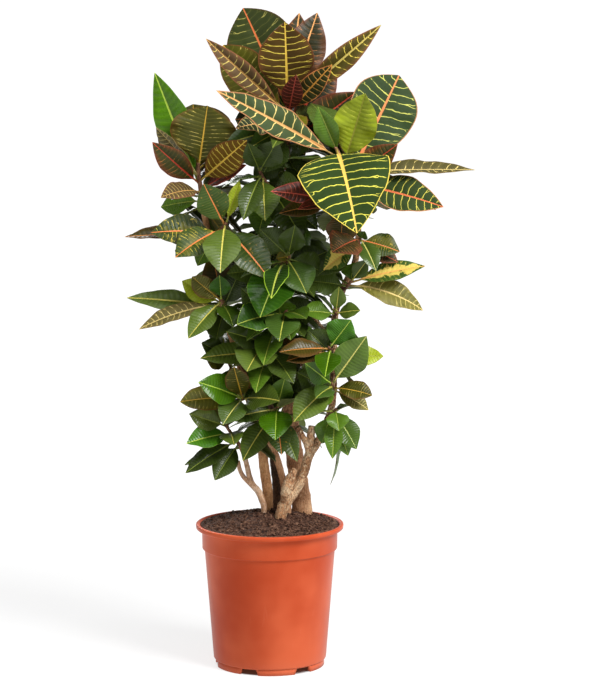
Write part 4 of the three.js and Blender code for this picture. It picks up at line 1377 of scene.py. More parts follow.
def turned(bm: bmesh.types.BMesh, profile: Sequence[tuple[float, float]], steps: int) -> None:
    """Turns a profile round the pot's axis into a closed skin.

    Args:
        bm: the mesh.
        profile: pairs of radius and height, in millimetres.
        steps: how many turns.
    """
    verts = [bm.verts.new((radius * MM, 0.0, height * MM)) for radius, height in profile]
    edges = [bm.edges.new(pair) for pair in zip(verts, verts[1:])]
    axis = {"cent": (0.0, 0.0, 0.0), "axis": (0.0, 0.0, 1.0), "angle": 2 * math.pi}
    bmesh.ops.spin(bm, geom=verts + edges, steps=steps, use_merge=True, **axis)
    bmesh.ops.remove_doubles(bm, verts=bm.verts, dist=0.001 * MM)
    bmesh.ops.recalc_face_normals(bm, faces=bm.faces)


@dataclass(frozen=True)
class Pot:
    """The tapered nursery pot, with a rolled rim, a collar, feet and drain holes. Millimetres."""

    rim_radius: float = 105.0
    height: float = 204.0
    rim_depth: float = 7.0
    lip: float = 1.8
    mouth_radius: float = 99.7
    collar_radius: float = 96.7
    collar_foot_radius: float = 96.0
    collar_foot: float = 169.0
    wall_top_radius: float = 93.0
    wall_foot_radius: float = 80.0
    wall: float = 2.6
    floor: float = 9.0
    floor_thickness: float = 3.0
    pad_radius: float = 16.0
    pad_slope: float = 7.0
    skirt_radius: float = 77.5
    skirt_wall: float = 4.0
    skirt_edge: float = 0.6
    notch: float = 8.0
    splay: float = 2.2
    feet: int = 6
    feet_turn: float = 9.0
    drain_radius: float = 5.0
    drain_circle: float = 62.0
    steps: int = 90

    def profile(self) -> list[tuple[float, float]]:
        """The wall's outline, up the outside, over the rim and down the inside.

        Returns:
            Pairs of radius and height, from the middle of the underside to the middle of the floor.
        """
        top, collar_foot, floor = self.height, self.collar_foot, self.floor
        rim_foot = top - self.rim_depth
        skirt = floor - self.skirt_edge
        skirt_inside = self.skirt_radius - self.skirt_wall
        pad_foot = self.pad_radius + self.pad_slope
        floor_top = floor + self.floor_thickness
        inside = self.collar_radius - self.wall
        lip = [
            (self.rim_radius - self.lip * (1 - math.cos(turn)), top - self.lip + self.lip * math.sin(turn))
            for turn in (math.radians(step * 30) for step in range(4))
        ]
        return [
            (0.0, 0.0), (self.pad_radius, 0.0), (pad_foot, floor), (skirt_inside, floor),
            (skirt_inside, skirt), (self.skirt_radius, skirt), (self.skirt_radius + 0.5, floor + 0.4),
            (self.wall_foot_radius - 0.4, floor + 1.0), (self.wall_foot_radius + 0.3, floor + 2.2),
            (self.wall_top_radius - 0.4, collar_foot - 2.6), (self.wall_top_radius + 0.4, collar_foot - 1.2),
            (self.collar_foot_radius - 0.5, collar_foot - 0.4), (self.collar_foot_radius, collar_foot + 0.6),
            (self.collar_radius - 0.3, rim_foot - 1.6), (self.collar_radius + 0.8, rim_foot - 0.3),
            (self.rim_radius - 1.6, rim_foot), (self.rim_radius - 0.4, rim_foot + 1.0),
            *lip,
            (self.mouth_radius + 1.4, top), (self.mouth_radius, top - 0.8),
            (inside + 0.6, rim_foot - 2), (inside, rim_foot - 6),
            (self.wall_top_radius - self.wall, collar_foot - 4),
            (self.wall_foot_radius - self.wall, floor_top), (pad_foot, floor_top),
            (self.pad_radius, self.floor_thickness), (0.0, self.floor_thickness),
        ]

    def build(self) -> None:
        """Builds the pot in place of its node."""
        piece = Piece("moulded_pot")
        bm = piece.bm
        turned(bm, self.profile(), self.steps)
        self.add_feet(bm)
        pot = piece.done([PLASTIC.material()], "pot")
        self.drill(pot)

    def off_notch(self, point: Vector) -> float:
        """How many degrees a point lies round from the middle of the nearest notch."""
        turn, sector = math.degrees(math.atan2(point.y, point.x)) - self.feet_turn, 360 / self.feet
        return (turn + sector / 2) % sector - sector / 2

    def add_feet(self, bm: bmesh.types.BMesh) -> None:
        """Draws the skirt down to the surface between its notches, which are wider at the bottom.

        Args:
            bm: the turned pot.
        """
        feet = []
        for face in bm.faces:
            middle = face.calc_center_median() / MM
            radius = math.hypot(middle.x, middle.y)
            low = abs(middle.z - (self.floor - self.skirt_edge)) < 0.01
            skirt = abs(radius - self.skirt_radius + self.skirt_wall / 2) < 1
            if low and skirt and abs(self.off_notch(middle)) > self.notch:
                feet.append(face)
        for vert in verts_in(bmesh.ops.extrude_face_region(bm, geom=feet)["geom"]):
            vert.co.z = 0.0
            off = self.off_notch(vert.co)
            if abs(off) < self.notch + 2:
                vert.co.rotate(Matrix.Rotation(math.radians(math.copysign(self.splay, off)), 3, "Z"))

    def drill(self, pot: bpy.types.Object) -> None:
        """Cuts a drain hole through the floor for each foot.

        Args:
            pot: the pot, which gets a new mesh.
        """
        bm = bmesh.new()
        radius, depth = self.drain_radius * MM, (self.floor_thickness + 2) * MM
        for k in range(self.feet):
            turn = math.radians(360 / self.feet * k + self.feet_turn)
            place = Vector((math.cos(turn), math.sin(turn), 0.0)) * (self.drain_circle * MM)
            place.z = (self.floor + self.floor_thickness / 2) * MM
            bmesh.ops.create_cone(
                bm, cap_ends=True, segments=20, radius1=radius, radius2=radius, depth=depth,
                matrix=Matrix.Translation(place),
            )
        drains = placed("drains", bm)
        cut = pot.modifiers.new("drains", "BOOLEAN")
        cut.operation = "DIFFERENCE"
        cut.object = drains
        holed = bpy.data.meshes.new_from_object(pot.evaluated_get(bpy.context.evaluated_depsgraph_get()))
        pot.modifiers.remove(cut)
        spent = (pot.data, drains.data)
        pot.data = holed
        bpy.data.objects.remove(drains)
        for mesh in spent:
            bpy.data.meshes.remove(mesh)


@dataclass(frozen=True)
class Soil:
    """The soil that fills the pot: heaped in the middle, lumpy, and strewn with crumbs and bark.

    In millimetres. It stands a little clear of the pot's pad, floor and wall. Lumps are widths and heights.
    """

    edge: float = 203.0
    rise: float = 23.0
    top_radius: float = 98.4
    foot_radius: float = 77.1
    wall_radius: float = 90.1
    collar_radius: float = 93.5
    pad_radius: float = 15.7
    pad_foot: float = 22.7
    bottom: float = 3.3
    floor: float = 12.3
    wall_height: float = 165.0
    collar_height: float = 194.7
    lumps: tuple[tuple[float, float], ...] = ((17, 2.2), (6.5, 1.8), (2.6, 0.9))
    rings: int = 50
    steps: int = 150
    crumbs: int = 900
    chips: int = 120
    seed: int = 11

    def ground(self, x: float, y: float) -> float:
        """The height of the soil's top at a place, lumps and all.

        Args:
            x: the place, to the right.
            y: the place, to the back.

        Returns:
            The height.
        """
        radius = math.hypot(x, y)
        level = self.edge + self.rise * (1 - radius / self.top_radius) - 2.5 * math.exp(-((radius / 14) ** 2))
        fade = 1 - smooth(self.top_radius - 9, self.top_radius - 1, radius)
        point = Vector((x, y, 0.0))
        lumps = sum(noise.noise(point / width) * height for width, height in self.lumps)
        return level + (lumps - 0.5) * fade

    def build(self) -> None:
        """Builds the soil in place of its node."""
        piece = Piece("potting_mix")
        bm = piece.bm
        top = [(self.top_radius * (1 - (i / self.rings) ** 1.1), self.edge) for i in range(self.rings + 1)]
        sides = [
            (0.0, self.bottom), (self.pad_radius, self.bottom), (self.pad_foot, self.floor),
            (self.foot_radius, self.floor), (self.wall_radius, self.wall_height),
            (self.collar_radius, self.collar_height),
        ]
        turned(bm, [*sides, *top], self.steps)
        for vert in bm.verts:
            if vert.co.z > (self.edge - 0.5) * MM:
                vert.co.z = self.ground(vert.co.x / MM, vert.co.y / MM) * MM
        draw = random.Random(self.seed)
        for _ in range(self.crumbs):
            self.add_crumb(bm, draw)
        for _ in range(self.chips):
            self.add_chip(bm, draw)
        piece.done([MIX.material("potting mix", 0.15), MIX.material("bark chips", 1.0)], "soil")

    def spot(self, draw: random.Random, lift: float) -> Vector:
        """A random place on the top.

        Args:
            draw: the random numbers.
            lift: how far above the top, in millimetres.

        Returns:
            The place, in metres.
        """
        radius = (self.top_radius - 5) * math.sqrt(draw.random())
        turn = draw.uniform(0, 2 * math.pi)
        x, y = radius * math.cos(turn), radius * math.sin(turn)
        return Vector((x, y, self.ground(x, y) + lift)) * MM

    def add_crumb(self, bm: bmesh.types.BMesh, draw: random.Random) -> None:
        """Adds a crumb of the mix.

        Args:
            bm: the mesh.
            draw: the random numbers.
        """
        size = draw.uniform(0.7, 1.0) ** 2 * draw.choice((1.2, 1.6, 2.0, 2.6, 3.6))
        angle = draw.uniform(0, 6.3)
        turn = Matrix.Rotation(angle, 4, Vector((draw.random(), draw.random(), 1)).normalized())
        shape = Matrix.Diagonal((size, size * draw.uniform(0.6, 1.0), size * draw.uniform(0.5, 0.8), 1 / MM))
        place = Matrix.Translation(self.spot(draw, size * 0.15)) @ turn @ (shape * MM)
        bmesh.ops.create_icosphere(bm, subdivisions=1, radius=1.0, matrix=place)

    def add_chip(self, bm: bmesh.types.BMesh, draw: random.Random) -> None:
        """Adds a splinter of bark, lying down.

        Args:
            bm: the mesh.
            draw: the random numbers.
        """
        length, thick = draw.uniform(3, 9), draw.uniform(0.5, 1.1)
        turn = Matrix.Rotation(draw.uniform(0, 6.3), 4, "Z") @ Matrix.Rotation(draw.uniform(1.2, 1.9), 4, "Y")
        place = Matrix.Translation(self.spot(draw, thick)) @ turn
        chip = bmesh.ops.create_cone(
            bm, cap_ends=True, segments=5, radius1=thick * MM, radius2=thick * 0.5 * MM, depth=length * MM,
            matrix=place,
        )["verts"]
        for face in faces_of(chip):
            face.material_index = 1


@dataclass(frozen=True)
class Studio:
    """The camera at the photograph's angle, a pale floor, a pale sky and soft lights.

    The camera looks down by its pitch in degrees, and its focus and frame_height are in pixels. The lights
    are rows of name, place, size and power.
    """

    pitch: float = 7.73
    focus: float = 2864.0
    frame_height: int = 683
    film: float = 36.0
    floor_size: float = 400.0
    near_glow: float = 0.76
    far_glow: float = 1.0
    pot_foot: float = 0.078
    floor_grey: float = 0.24
    # painted shade: the dark brown glow of the floor under the pot
    painted_shade_under_pot: Colour = (0.05, 0.016, 0.009)
    low_sky: float = 0.85
    high_sky: float = 0.17
    lights: tuple[tuple[str, tuple[float, float, float], float, float], ...] = (
        ("key", (2.15, -2.2, 3.1), 1.6, 250.0),
        ("top", (0.1, -1.2, 3.3), 2.0, 40.0),
        ("back", (-1.2, 2.8, 2.0), 1.3, 50.0),
    )

    def build(self) -> None:
        """Sets up the camera, the floor, the sky and the lights."""
        scene = bpy.context.scene
        scene.view_settings.view_transform = "Standard"
        camera = bpy.data.cameras.new("camera")
        camera.sensor_width = self.film
        camera.lens = self.focus * self.film / self.frame_height
        stand = bpy.data.objects.new("camera", camera)
        stand.location = EYE * MM
        stand.rotation_euler = (math.radians(90 - self.pitch), 0.0, 0.0)
        scene.collection.objects.link(stand)
        scene.camera = stand
        self.add_floor()
        self.add_sky(scene)
        for light in self.lights:
            self.add_light(scene, *light)

    def add_floor(self) -> None:
        """Adds the pale floor, glowing a little to stay white, and dark brown under the pot as painted shade.
        """
        bm = bmesh.new()
        bmesh.ops.create_grid(bm, x_segments=1, y_segments=1, size=self.floor_size)
        s = Shader("pale floor")
        distance = s.out(s.add("ShaderNodeVectorMath", {"operation": "LENGTH"}, {0: s.object_point}), "Value")
        near, far = (self.near_glow,) * 3, (self.far_glow,) * 3
        surface = {"Base_Color": (self.floor_grey,) * 3, "Roughness": 0.9, "Specular_IOR_Level": 0.0}
        glow = s.blend(s.step(distance, 0.6, 3.0), near, far)
        # Painted shade: under the pot's foot the glow gives way to a dark brown that stands for the shade
        # there.
        glow = s.blend(s.step(distance, self.pot_foot * 0.9, self.pot_foot), self.painted_shade_under_pot, glow)
        floor = placed("floor", bm)
        floor.data.materials.append(s.finish(**surface, Emission_Color=glow, Emission_Strength=1.0))

    def add_sky(self, scene: bpy.types.Scene) -> None:
        """Adds the sky: white round the horizon, as from pale walls, and dimmer overhead and at the left.

        Args:
            scene: the scene whose world it becomes.
        """
        s = Shader("studio sky", sky=True)
        toward = s.add("ShaderNodeSeparateXYZ", {}, {0: s.object_point})
        ahead = s.step(s.out(toward, 1), -0.5, 0.3) * 0.66 + 0.34
        aside = s.step(s.out(toward, 0), -0.7, 0.1) * 0.55 + 0.45
        strength = (1 - s.step(s.out(toward, 2), 0.1, 0.42)) * ahead * aside
        strength = strength * (self.low_sky - self.high_sky) + self.high_sky
        s.feed(s.surface.inputs["Color"], (1.0, 1.0, 1.0))
        s.feed(s.surface.inputs["Strength"], strength)
        scene.world = s.material

    def add_light(
        self, scene: bpy.types.Scene, name: str, place: tuple[float, float, float], size: float, power: float
    ) -> None:
        """Adds a square soft light that faces the middle of the plant.

        Args:
            scene: the scene.
            name: the light's name.
            place: where it stands.
            size: its side's length.
            power: its power in watts.
        """
        light = bpy.data.lights.new(name, "AREA")
        light.size = size
        light.energy = power
        lamp = bpy.data.objects.new(name, light)
        lamp.location = place
        lamp.rotation_euler = (Vector((0.0, 0.0, 0.5)) - Vector(place)).to_track_quat("-Z", "Y").to_euler()
        scene.collection.objects.link(lamp)


# Rows of (height, left, right) as the foliage is seen in the plane through the pot's axis.
OUTLINE = (
    (345, -110, 100), (375, -118, 128), (400, -92, 135), (425, -78, 110), (450, -90, 138),
    (475, -105, 125), (500, -105, 118), (525, -125, 92), (550, -115, 110), (575, -90, 108),
    (600, -130, 140), (625, -150, 120), (650, -145, 160), (675, -135, 200), (700, -125, 195),
    (725, -150, 155), (750, -155, 155), (775, -155, 175), (800, -140, 185), (825, -72, 190),
    (850, -72, 160), (880, -75, 95), (915, -65, 85),
)

STEMS = (
    Stem("stem_rear", TAN_BARK, (
        (46, 165, 34, 13), (46, 214, 35, 14.5), (43, 250, 36, 13.6), (37, 290, 38, 13),
        (32, 330, 38, 11.6), (27, 400, 36, 10), (24, 480, 34, 9), (22, 560, 30, 8), (24, 640, 24, 6.8),
        (25, 700, 20, 6),
    ), lumps=0.05, rough=0.02, scar_gap=22.0),
    Stem("stem_left", THIN_BARK, (
        (-8, 170, -12, 4.2), (-8, 222, -12, 4.2), (-11, 236, -12, 4.4), (-16, 249, -12, 4.7),
        (-26, 262, -13, 4.3), (-32, 285, -14, 3.6), (-36, 304, -15, 3.4),
    ), (
        ((-24, 257, -13, 3.6), (-36, 269, -15, 3.2), (-42, 280, -16, 3), (-45, 293, -17, 3)),
    ), rough=0.04, scar_gap=9.0),
    Stem("stem_centre", OLIVE_BARK, (
        (-1, 168, 5, 6.6), (-2, 222, 5, 7), (-3, 250, 5, 7.2), (-8, 285, 6, 7), (-11, 318, 8, 6.8),
        (-20, 355, 7, 6.4), (-33, 398, 4, 6), (-46, 450, 0, 5.6), (-62, 502, -3, 5.4),
        (-72, 560, -1, 4.8), (-86, 620, 4, 4.4), (-93, 655, 5, 4.2),
    ), (
        ((-32, 396, 4, 4.2), (-45, 410, -2, 3.8), (-52, 424, -6, 3.4)),
    ), lumps=0.05, rough=0.015),
    # Its bark is darkened as painted shade.
    Stem("stem_dark", PAINTED_SHADE_BARK, (
        (11, 170, 22, 6.6), (11, 228, 21, 6.8), (10, 262, 22, 6.4), (5, 300, 23, 5.4),
        (2, 360, 21, 4.8), (4, 430, 14, 4.6), (8, 500, 4, 4.2), (11, 545, -5, 3.8),
    )),
    Stem("stem_inner", TAN_BARK, (
        (27, 168, 4, 5.2), (25, 226, 4, 5.4), (20, 260, 3, 5), (16, 277, 2, 4.8), (9, 300, 2, 5),
        (-1, 324, -2, 5), (-3, 345, -7, 4.6),
    ), scar_gap=10.0),
    Stem("stem_front", CORKY_BARK, (
        (12, 165, -28, 7), (15, 212, -28, 7.8), (24, 235, -28, 9), (40, 258, -28, 7.6),
        (50, 281, -28, 6.4), (56, 302, -28, 6.6), (69, 322, -27, 5.6), (80, 348, -26, 5),
        (89, 378, -25, 4.8), (91, 430, -25, 4.6), (92, 498, -25, 4.6), (104, 540, -27, 4.8),
        (118, 570, -31, 4.4), (124, 602, -34, 4.2), (125, 648, -38, 4),
    ), (
        ((23, 232, -29, 7), (24, 250, -36, 8.2), (29, 267, -38, 7.4), (36, 282, -37, 3.4)),
        ((56, 300, -28, 4.6), (52, 318, -33, 4.4), (39, 342, -38, 4)),
        ((58, 306, -28, 5.4), (58, 326, -31, 5.6), (60, 343, -32, 5.4)),
        ((91, 462, -25, 2.6), (76, 482, -18, 2.4), (61, 499, -12, 1.8)),
    ), lumps=0.1, rough=0.08, scar_gap=11.0),
)

UNSEEN = (Kind.DEEP, Kind.GREEN, Kind.TEAL)

SHOOTS = (
    Shoot("shoot_top", (
        (25, 690, 20, 4.4), (25, 745, 18, 4.2), (26, 800, 14, 3.4), (28, 836, 10, 2.2),
    ), (
        (0.74, 22, 912, -38, 76, 0, 12, 4, 10, Kind.BRONZE),
        (0.7, -36, 931, 62, 96, -14, 6, -12, 6, Kind.NIGHT),
        (0.74, 156, 908, -22, 38, 24, 14, 22, 30, Kind.HORN),
        (0.66, -88, 889, -30, 36, -24, 18, 24, 30, Kind.PLUM),
        (0.8, 67, 925, 48, 58, 8, 4, 8, 14, Kind.EMBER),
        (0.56, -64, 880, 22, 64, -16, 10, 10, 10, Kind.OLIVE),
        (0.62, 38, 839, -50, 30, 0, 10, -10, 16, Kind.MAROON),
        (0.66, 88, 853, -34, 32, 12, 14, 6, 18, Kind.LACE),
        (0.55, -47, 764, -52, 42, -14, 26, 34, 14, Kind.SEA),
        (0.74, 42, 924, 84, 50, 0, 0, 8, 10, Kind.EMBER),
        (0.52, 95, 852, 40, 52, 20, 8, 8, 12, Kind.FIRE),
        (0.36, 122, 815, 26, 50, 14, 14, 12, 16, Kind.FIRE),
        (0.42, -8, 700, -48, 42, -8, 12, 40, 12, Kind.DEEP),
        (0.3, -40, 728, -20, 38, -24, 20, 30, 12, Kind.DEEP),
        (0.24, 34, 706, -36, 44, 6, 14, 34, 12, Kind.DEEP),
        (0.34, 62, 742, -26, 44, 16, 14, 24, 12, Kind.DEEP),
    ), More(4, 0.3, 104, 52, -10, 66, 188, 170, (Kind.OLIVE, Kind.NIGHT, Kind.DEEP)), (
        (0.5, -62, 742, -10, 40, -20, 20, 30, 14, Kind.TEAL),
        (0.35, -52, 700, -30, 34, -16, 16, 34, 14, Kind.DEEP),
        (0.5, -28, 735, -48, 36, -10, 14, 34, 14, Kind.TEAL),
        (0.3, -22, 690, -10, 38, -8, 10, 34, 14, Kind.DEEP),
        (0.6, -48, 775, 10, 44, -14, 20, 20, 12, Kind.NIGHT),
        (0.45, 5, 740, -60, 34, 0, 16, 34, 12, Kind.DEEP),
        (0.2, 50, 690, 10, 40, 10, 16, 30, 12, Kind.DEEP),
        (0.6, 60, 775, -10, 40, 14, 18, 20, 12, Kind.NIGHT),
    )),
    Shoot("shoot_right", (
        (125, 642, -38, 3.6), (118, 680, -42, 3.6), (104, 714, -50, 3.2), (92, 739, -58, 2.2),
    ), (
        (0.96, 123, 617, -178, 124, -4, 44, 62, 8, Kind.JEWEL),
        (0.52, 181, 838, 16, 92, 8, 10, 6, 8, Kind.BANNER),
        (0.72, 134, 813, -84, 62, -4, 14, -14, 16, Kind.LIME),
        (0.8, -74, 817, -96, 46, -12, 30, 12, 22, Kind.SEA),
        (0.44, 244, 654, -84, 54, 12, 26, 24, 12, Kind.FRINGE),
        (0.6, 288, 706, -60, 46, 8, 68, 4, 20, Kind.KHAKI),
        (0.86, 68, 795, -72, 36, -26, 10, 8, 18, Kind.GREEN),
        (0.3, 234, 650, -48, 40, 12, 68, 14, 14, Kind.KHAKI),
        (0.5, 178, 745, -22, 40, 18, 14, 6, 20, Kind.FIRE),
    ), More(5, 0.12, 98, 50, -20, 46, 205, 120, (Kind.NIGHT, Kind.DEEP, Kind.GREEN))),
    Shoot("shoot_left", (
        (-93, 648, 5, 3.6), (-96, 680, 2, 3.4), (-99, 702, 0, 3), (-99, 716, -2, 2.2),
    ), (
        (0.86, -86, 796, -8, 92, 2, 8, -8, 12, Kind.OLIVE),
        (0.62, -31, 748, -54, 46, 10, 8, 8, 16, Kind.BRONZE),
        (0.72, -106, 798, 46, 104, -8, 4, 6, 8, Kind.OLIVE),
        (0.46, -158, 843, 52, 52, -16, 2, 4, 12, Kind.VIVID),
        (0.7, -158, 766, -26, 42, -52, -14, -8, 20, Kind.KHAKI),
        (0.56, -161, 748, 2, 40, -26, 12, 10, 16, Kind.FIRE),
        (0.4, -152, 667, -52, 36, -14, 36, 40, 16, Kind.PLUM),
        (0.42, -32, 712, -40, 30, 14, 44, 18, 24, Kind.WINE),
        (0.22, -152, 654, 30, 36, -20, 30, 24, 12, Kind.GREEN),
    ), More(4, 0.1, 84, 46, -14, 52, 155, 120, (Kind.OLIVE, Kind.DEEP, Kind.BROWN))),
    Shoot("shoot_left_middle", (
        (-82, 602, 3, 3.2), (-76, 612, -16, 3), (-66, 624, -36, 2.6), (-60, 632, -48, 2),
    ), (
        (0.9, -92, 687, -66, 46, -8, 8, 14, 12, Kind.FLAME),
        (0.92, -69, 561, -112, 52, -4, 32, 44, 12, Kind.IVY),
        (0.55, -166, 618, -50, 50, -10, 30, 26, 14, Kind.SPARK),
        (0.7, -132, 583, -84, 50, -10, 34, 34, 12, Kind.SPARK),
        (0.8, 0, 552, -88, 54, 8, 32, 36, 12, Kind.FLAME),
        (0.3, -203, 612, -20, 40, -14, 60, 14, 24, Kind.BROWN),
        (0.3, -101, 571, -26, 30, -14, 26, 30, 14, Kind.GREEN),
        (0.98, -42, 690, -56, 20, 8, 14, 0, 24, Kind.LIME),
    )),
    Shoot("shoot_crown_inner", (
        (24, 650, 23, 3.6), (10, 668, 2, 3.2), (-6, 690, -14, 2.8), (-14, 706, -22, 2),
    ), (
        (0.6, 46, 608, -66, 50, 8, 30, 32, 12, Kind.DEEP),
        (0.85, -6, 635, -62, 44, 0, 20, 40, 12, Kind.IVY),
        (0.9, -36, 638, -46, 34, -10, 20, 40, 14, Kind.DEEP),
        (0.55, 42, 688, -58, 38, 12, 20, 18, 12, Kind.DEEP),
        (0.98, -30, 744, -58, 30, -8, 12, 8, 18, Kind.DEEP),
        (0.4, 68, 622, -36, 42, 16, 28, 24, 12, Kind.DEEP),
        (0.98, 12, 748, -44, 40, 6, 8, 6, 14, Kind.DEEP),
        (0.3, -52, 660, -14, 42, -10, 20, 24, 12, Kind.DEEP),
    ), More(4, 0.15, 74, 44, -66, -6, -4, 150)),
    Shoot("shoot_right_inner", (
        (125, 634, -36, 3), (112, 646, -44, 2.8), (96, 658, -52, 2.4), (86, 664, -56, 2),
    ), (
        (0.92, 2, 676, -84, 34, -8, 40, 18, 18, Kind.WINE),
        (0.8, 40, 652, -100, 24, -6, 42, 22, 18, Kind.WINE),
        (0.85, 14, 645, -66, 32, -8, 36, 18, 14, Kind.BROWN),
        (0.98, 74, 702, -72, 32, 0, 16, 8, 18, Kind.DEEP),
        (0.6, 100, 600, -50, 44, 4, 16, 24, 12, Kind.BROWN),
    )),
    Shoot("shoot_node", (
        (-62, 500, -3, 3.2), (-64, 508, -18, 3), (-67, 517, -34, 2.6), (-68, 524, -42, 2),
    ), (
        (0.55, -201, 526, -16, 34, -8, 40, 14, 10, Kind.IVY),
        (0.75, -183, 483, -44, 34, -12, 56, 30, 16, Kind.KHAKI),
        (0.98, -70, 558, -62, 30, -4, 8, -6, 16, Kind.GLOSS),
        (0.8, -123, 550, -30, 34, -14, 16, 8, 16, Kind.LIME),
        (0.92, -109, 556, -50, 30, -16, 14, 8, 16, Kind.OLIVE),
        (0.9, -114, 470, -68, 36, -10, 30, 32, 14, Kind.IVY),
        (0.45, -80, 594, 10, 40, -8, 6, 6, 14, Kind.BROWN),
        (0.55, -40, 570, 14, 40, 6, 10, 4, 14, Kind.DEEP),
        (0.3, -86, 474, -26, 30, -8, 34, 28, 14, Kind.DEEP),
    ), More(2, 0.1, 62, 40, -50, -20, 30, 90)),
    Shoot("shoot_centre_upper", (
        (10, 536, -2, 3), (15, 556, -22, 3), (22, 574, -42, 2.6), (27, 586, -54, 2),
    ), (
        (0.7, -13, 498, -112, 66, -6, 34, 42, 12, Kind.GLOSS),
        (0.9, 52, 532, -98, 50, 8, 30, 34, 12, Kind.TEAL),
        (0.8, 3, 530, -124, 34, -12, 26, 34, 16, Kind.RIMMED),
        (0.92, 76, 560, -62, 42, 14, 30, 24, 14, Kind.DEEP),
        (0.96, 10, 582, -76, 16, -4, 14, 6, 26, Kind.OLIVE),
        (0.6, -60, 560, -46, 42, -8, 30, 20, 12, Kind.DEEP),
        (0.98, 36, 630, -70, 38, 4, 10, 6, 16, Kind.DEEP),
        (0.5, 82, 592, -30, 42, 16, 26, 20, 14, Kind.DEEP),
        (0.98, -14, 622, -60, 42, -6, 10, 6, 14, Kind.DEEP),
    ), More(4, 0.1, 68, 42, -66, -10, 0, 170)),
    Shoot("shoot_centre", (
        (8, 474, 8, 3.2), (13, 490, -20, 3.2), (20, 500, -42, 2.8), (24, 508, -56, 2),
    ), (
        (0.86, -46, 488, -112, 54, -6, 38, 26, 10, Kind.RIMMED),
        (0.92, 14, 464, -126, 48, 0, 38, 36, 14, Kind.TEAL),
        (0.8, 30, 466, -92, 36, 6, 30, 38, 14, Kind.GREEN),
        (0.6, 12, 528, -58, 46, 0, 14, 10, 12, Kind.GREEN),
        (0.94, 52, 498, -88, 38, 20, 30, 26, 14, Kind.GREEN),
        (0.5, -40, 540, -40, 46, -8, 14, 10, 12, Kind.DEEP),
        (0.4, 62, 520, -24, 46, 10, 20, 18, 12, Kind.DEEP),
    ), More(4, 0.1, 66, 42, -66, -10, 0, 190)),
    Shoot("shoot_centre_lower", (
        (4, 424, 14, 3.2), (0, 440, -12, 3.2), (-4, 454, -34, 2.8), (-6, 462, -46, 2),
    ), (
        (0.9, -32, 421, -112, 60, -6, 38, 40, 12, Kind.IVY),
        (0.8, 34, 404, -92, 40, 8, 32, 36, 12, Kind.DEEP),
        (0.6, -98, 440, -44, 38, -12, 40, 24, 14, Kind.IVY),
        (0.55, 6, 398, -60, 44, 0, 32, 34, 12, Kind.DEEP),
        (0.98, -60, 480, -74, 36, -14, 24, 14, 14, Kind.DEEP),
        (0.4, -12, 396, -30, 42, -6, 26, 32, 12, Kind.DEEP),
        (0.5, 52, 448, -40, 46, 10, 26, 20, 12, Kind.BROWN),
    ), More(3, 0.1, 64, 40, -66, -10, 4, 190)),
    Shoot("shoot_right_middle", (
        (123, 590, -33, 2.8), (124, 598, -46, 2.6), (126, 606, -58, 2.2), (128, 611, -66, 1.8),
    ), (
        (0.9, 88, 590, -108, 52, -12, 30, 34, 12, Kind.FOX),
        (0.85, 183, 591, -74, 38, 14, 34, 22, 14, Kind.SPARK),
        (0.92, 150, 564, -108, 30, 10, 32, 36, 16, Kind.SAGE),
        (0.5, 181, 576, -62, 32, 12, 40, 24, 14, Kind.FOX),
        (0.9, 134, 620, -78, 18, 6, 16, 0, 24, Kind.GREEN),
        (0.5, 76, 565, -62, 34, -14, 32, 26, 14, Kind.CREAM),
        (0.3, 68, 561, -34, 36, -12, 34, 22, 14, Kind.DEEP),
    )),
    Shoot("shoot_right_fork", (
        (104, 538, -27, 2.8), (107, 540, -38, 2.6), (112, 546, -50, 2.2), (116, 550, -58, 1.8),
    ), (
        (0.85, 219, 571, -64, 34, 8, 42, 16, 14, Kind.CREAM),
        (0.6, 216, 508, -54, 40, 14, 36, 62, 14, Kind.SAND),
        (0.92, 138, 580, -66, 24, 4, 16, 4, 20, Kind.IVY),
        (0.5, 55, 548, -64, 42, -12, 34, 22, 12, Kind.DEEP),
    ), More(4, 0.12, 80, 42, -16, 32, 200, 120)),
    Shoot("shoot_right_twig", (
        (92, 494, -25, 2.6), (92, 499, -38, 2.4), (93, 503, -48, 2.2), (94, 506, -54, 1.8),
    ), (
        (0.8, 46, 507, -68, 32, -8, 36, 22, 14, Kind.GREEN),
        (0.85, 128, 508, -68, 26, 12, 32, 22, 14, Kind.IVY),
        (0.95, 98, 542, -68, 24, 6, 14, 6, 20, Kind.IVY),
    )),
    Shoot("shoot_right_lower", (
        (91, 432, -25, 2.8), (90, 440, -38, 2.6), (87, 450, -52, 2.4), (84, 456, -62, 1.8),
    ), (
        (0.95, 115, 495, -72, 46, 6, 14, 8, 12, Kind.GLOSS),
        (0.9, 14, 449, -96, 34, -6, 42, 20, 14, Kind.BROWN),
        (0.7, 24, 434, -104, 34, -8, 40, 24, 14, Kind.BROWN),
        (0.45, 161, 443, -44, 32, 8, 26, 10, 14, Kind.LIME),
        (0.8, 78, 420, -98, 36, 0, 32, 32, 14, Kind.VIVID),
        (0.6, 54, 480, -50, 38, -8, 20, 12, 14, Kind.DEEP),
    ), More(4, 0.1, 76, 42, -20, 30, 205, 110)),
    Shoot("shoot_right_low", (
        (90, 388, -25, 2.8), (90, 394, -40, 2.6), (89, 400, -54, 2.2), (88, 405, -62, 1.8),
    ), (
        (0.92, 137, 472, -82, 48, 6, 12, 8, 12, Kind.SAGE),
        (0.9, 50, 433, -94, 32, -8, 22, 16, 14, Kind.VIVID),
        (0.85, 34, 349, -106, 46, -8, 34, 32, 12, Kind.IVY),
        (0.7, 65, 385, -98, 28, -4, 30, 26, 14, Kind.TEAL),
        (0.65, 145, 387, -72, 32, 12, 40, 28, 14, Kind.OLIVE),
        (0.4, 38, 420, -62, 42, -8, 16, 12, 12, Kind.DEEP),
        (0.5, 140, 366, -52, 30, 12, 38, 32, 14, Kind.SAND),
        (0.45, 26, 388, -46, 44, -8, 20, 20, 12, Kind.DEEP),
    )),
    Shoot("shoot_right_base", (
        (83, 358, -26, 2.6), (89, 362, -38, 2.4), (93, 366, -50, 2.2), (94, 368, -56, 1.8),
    ), (
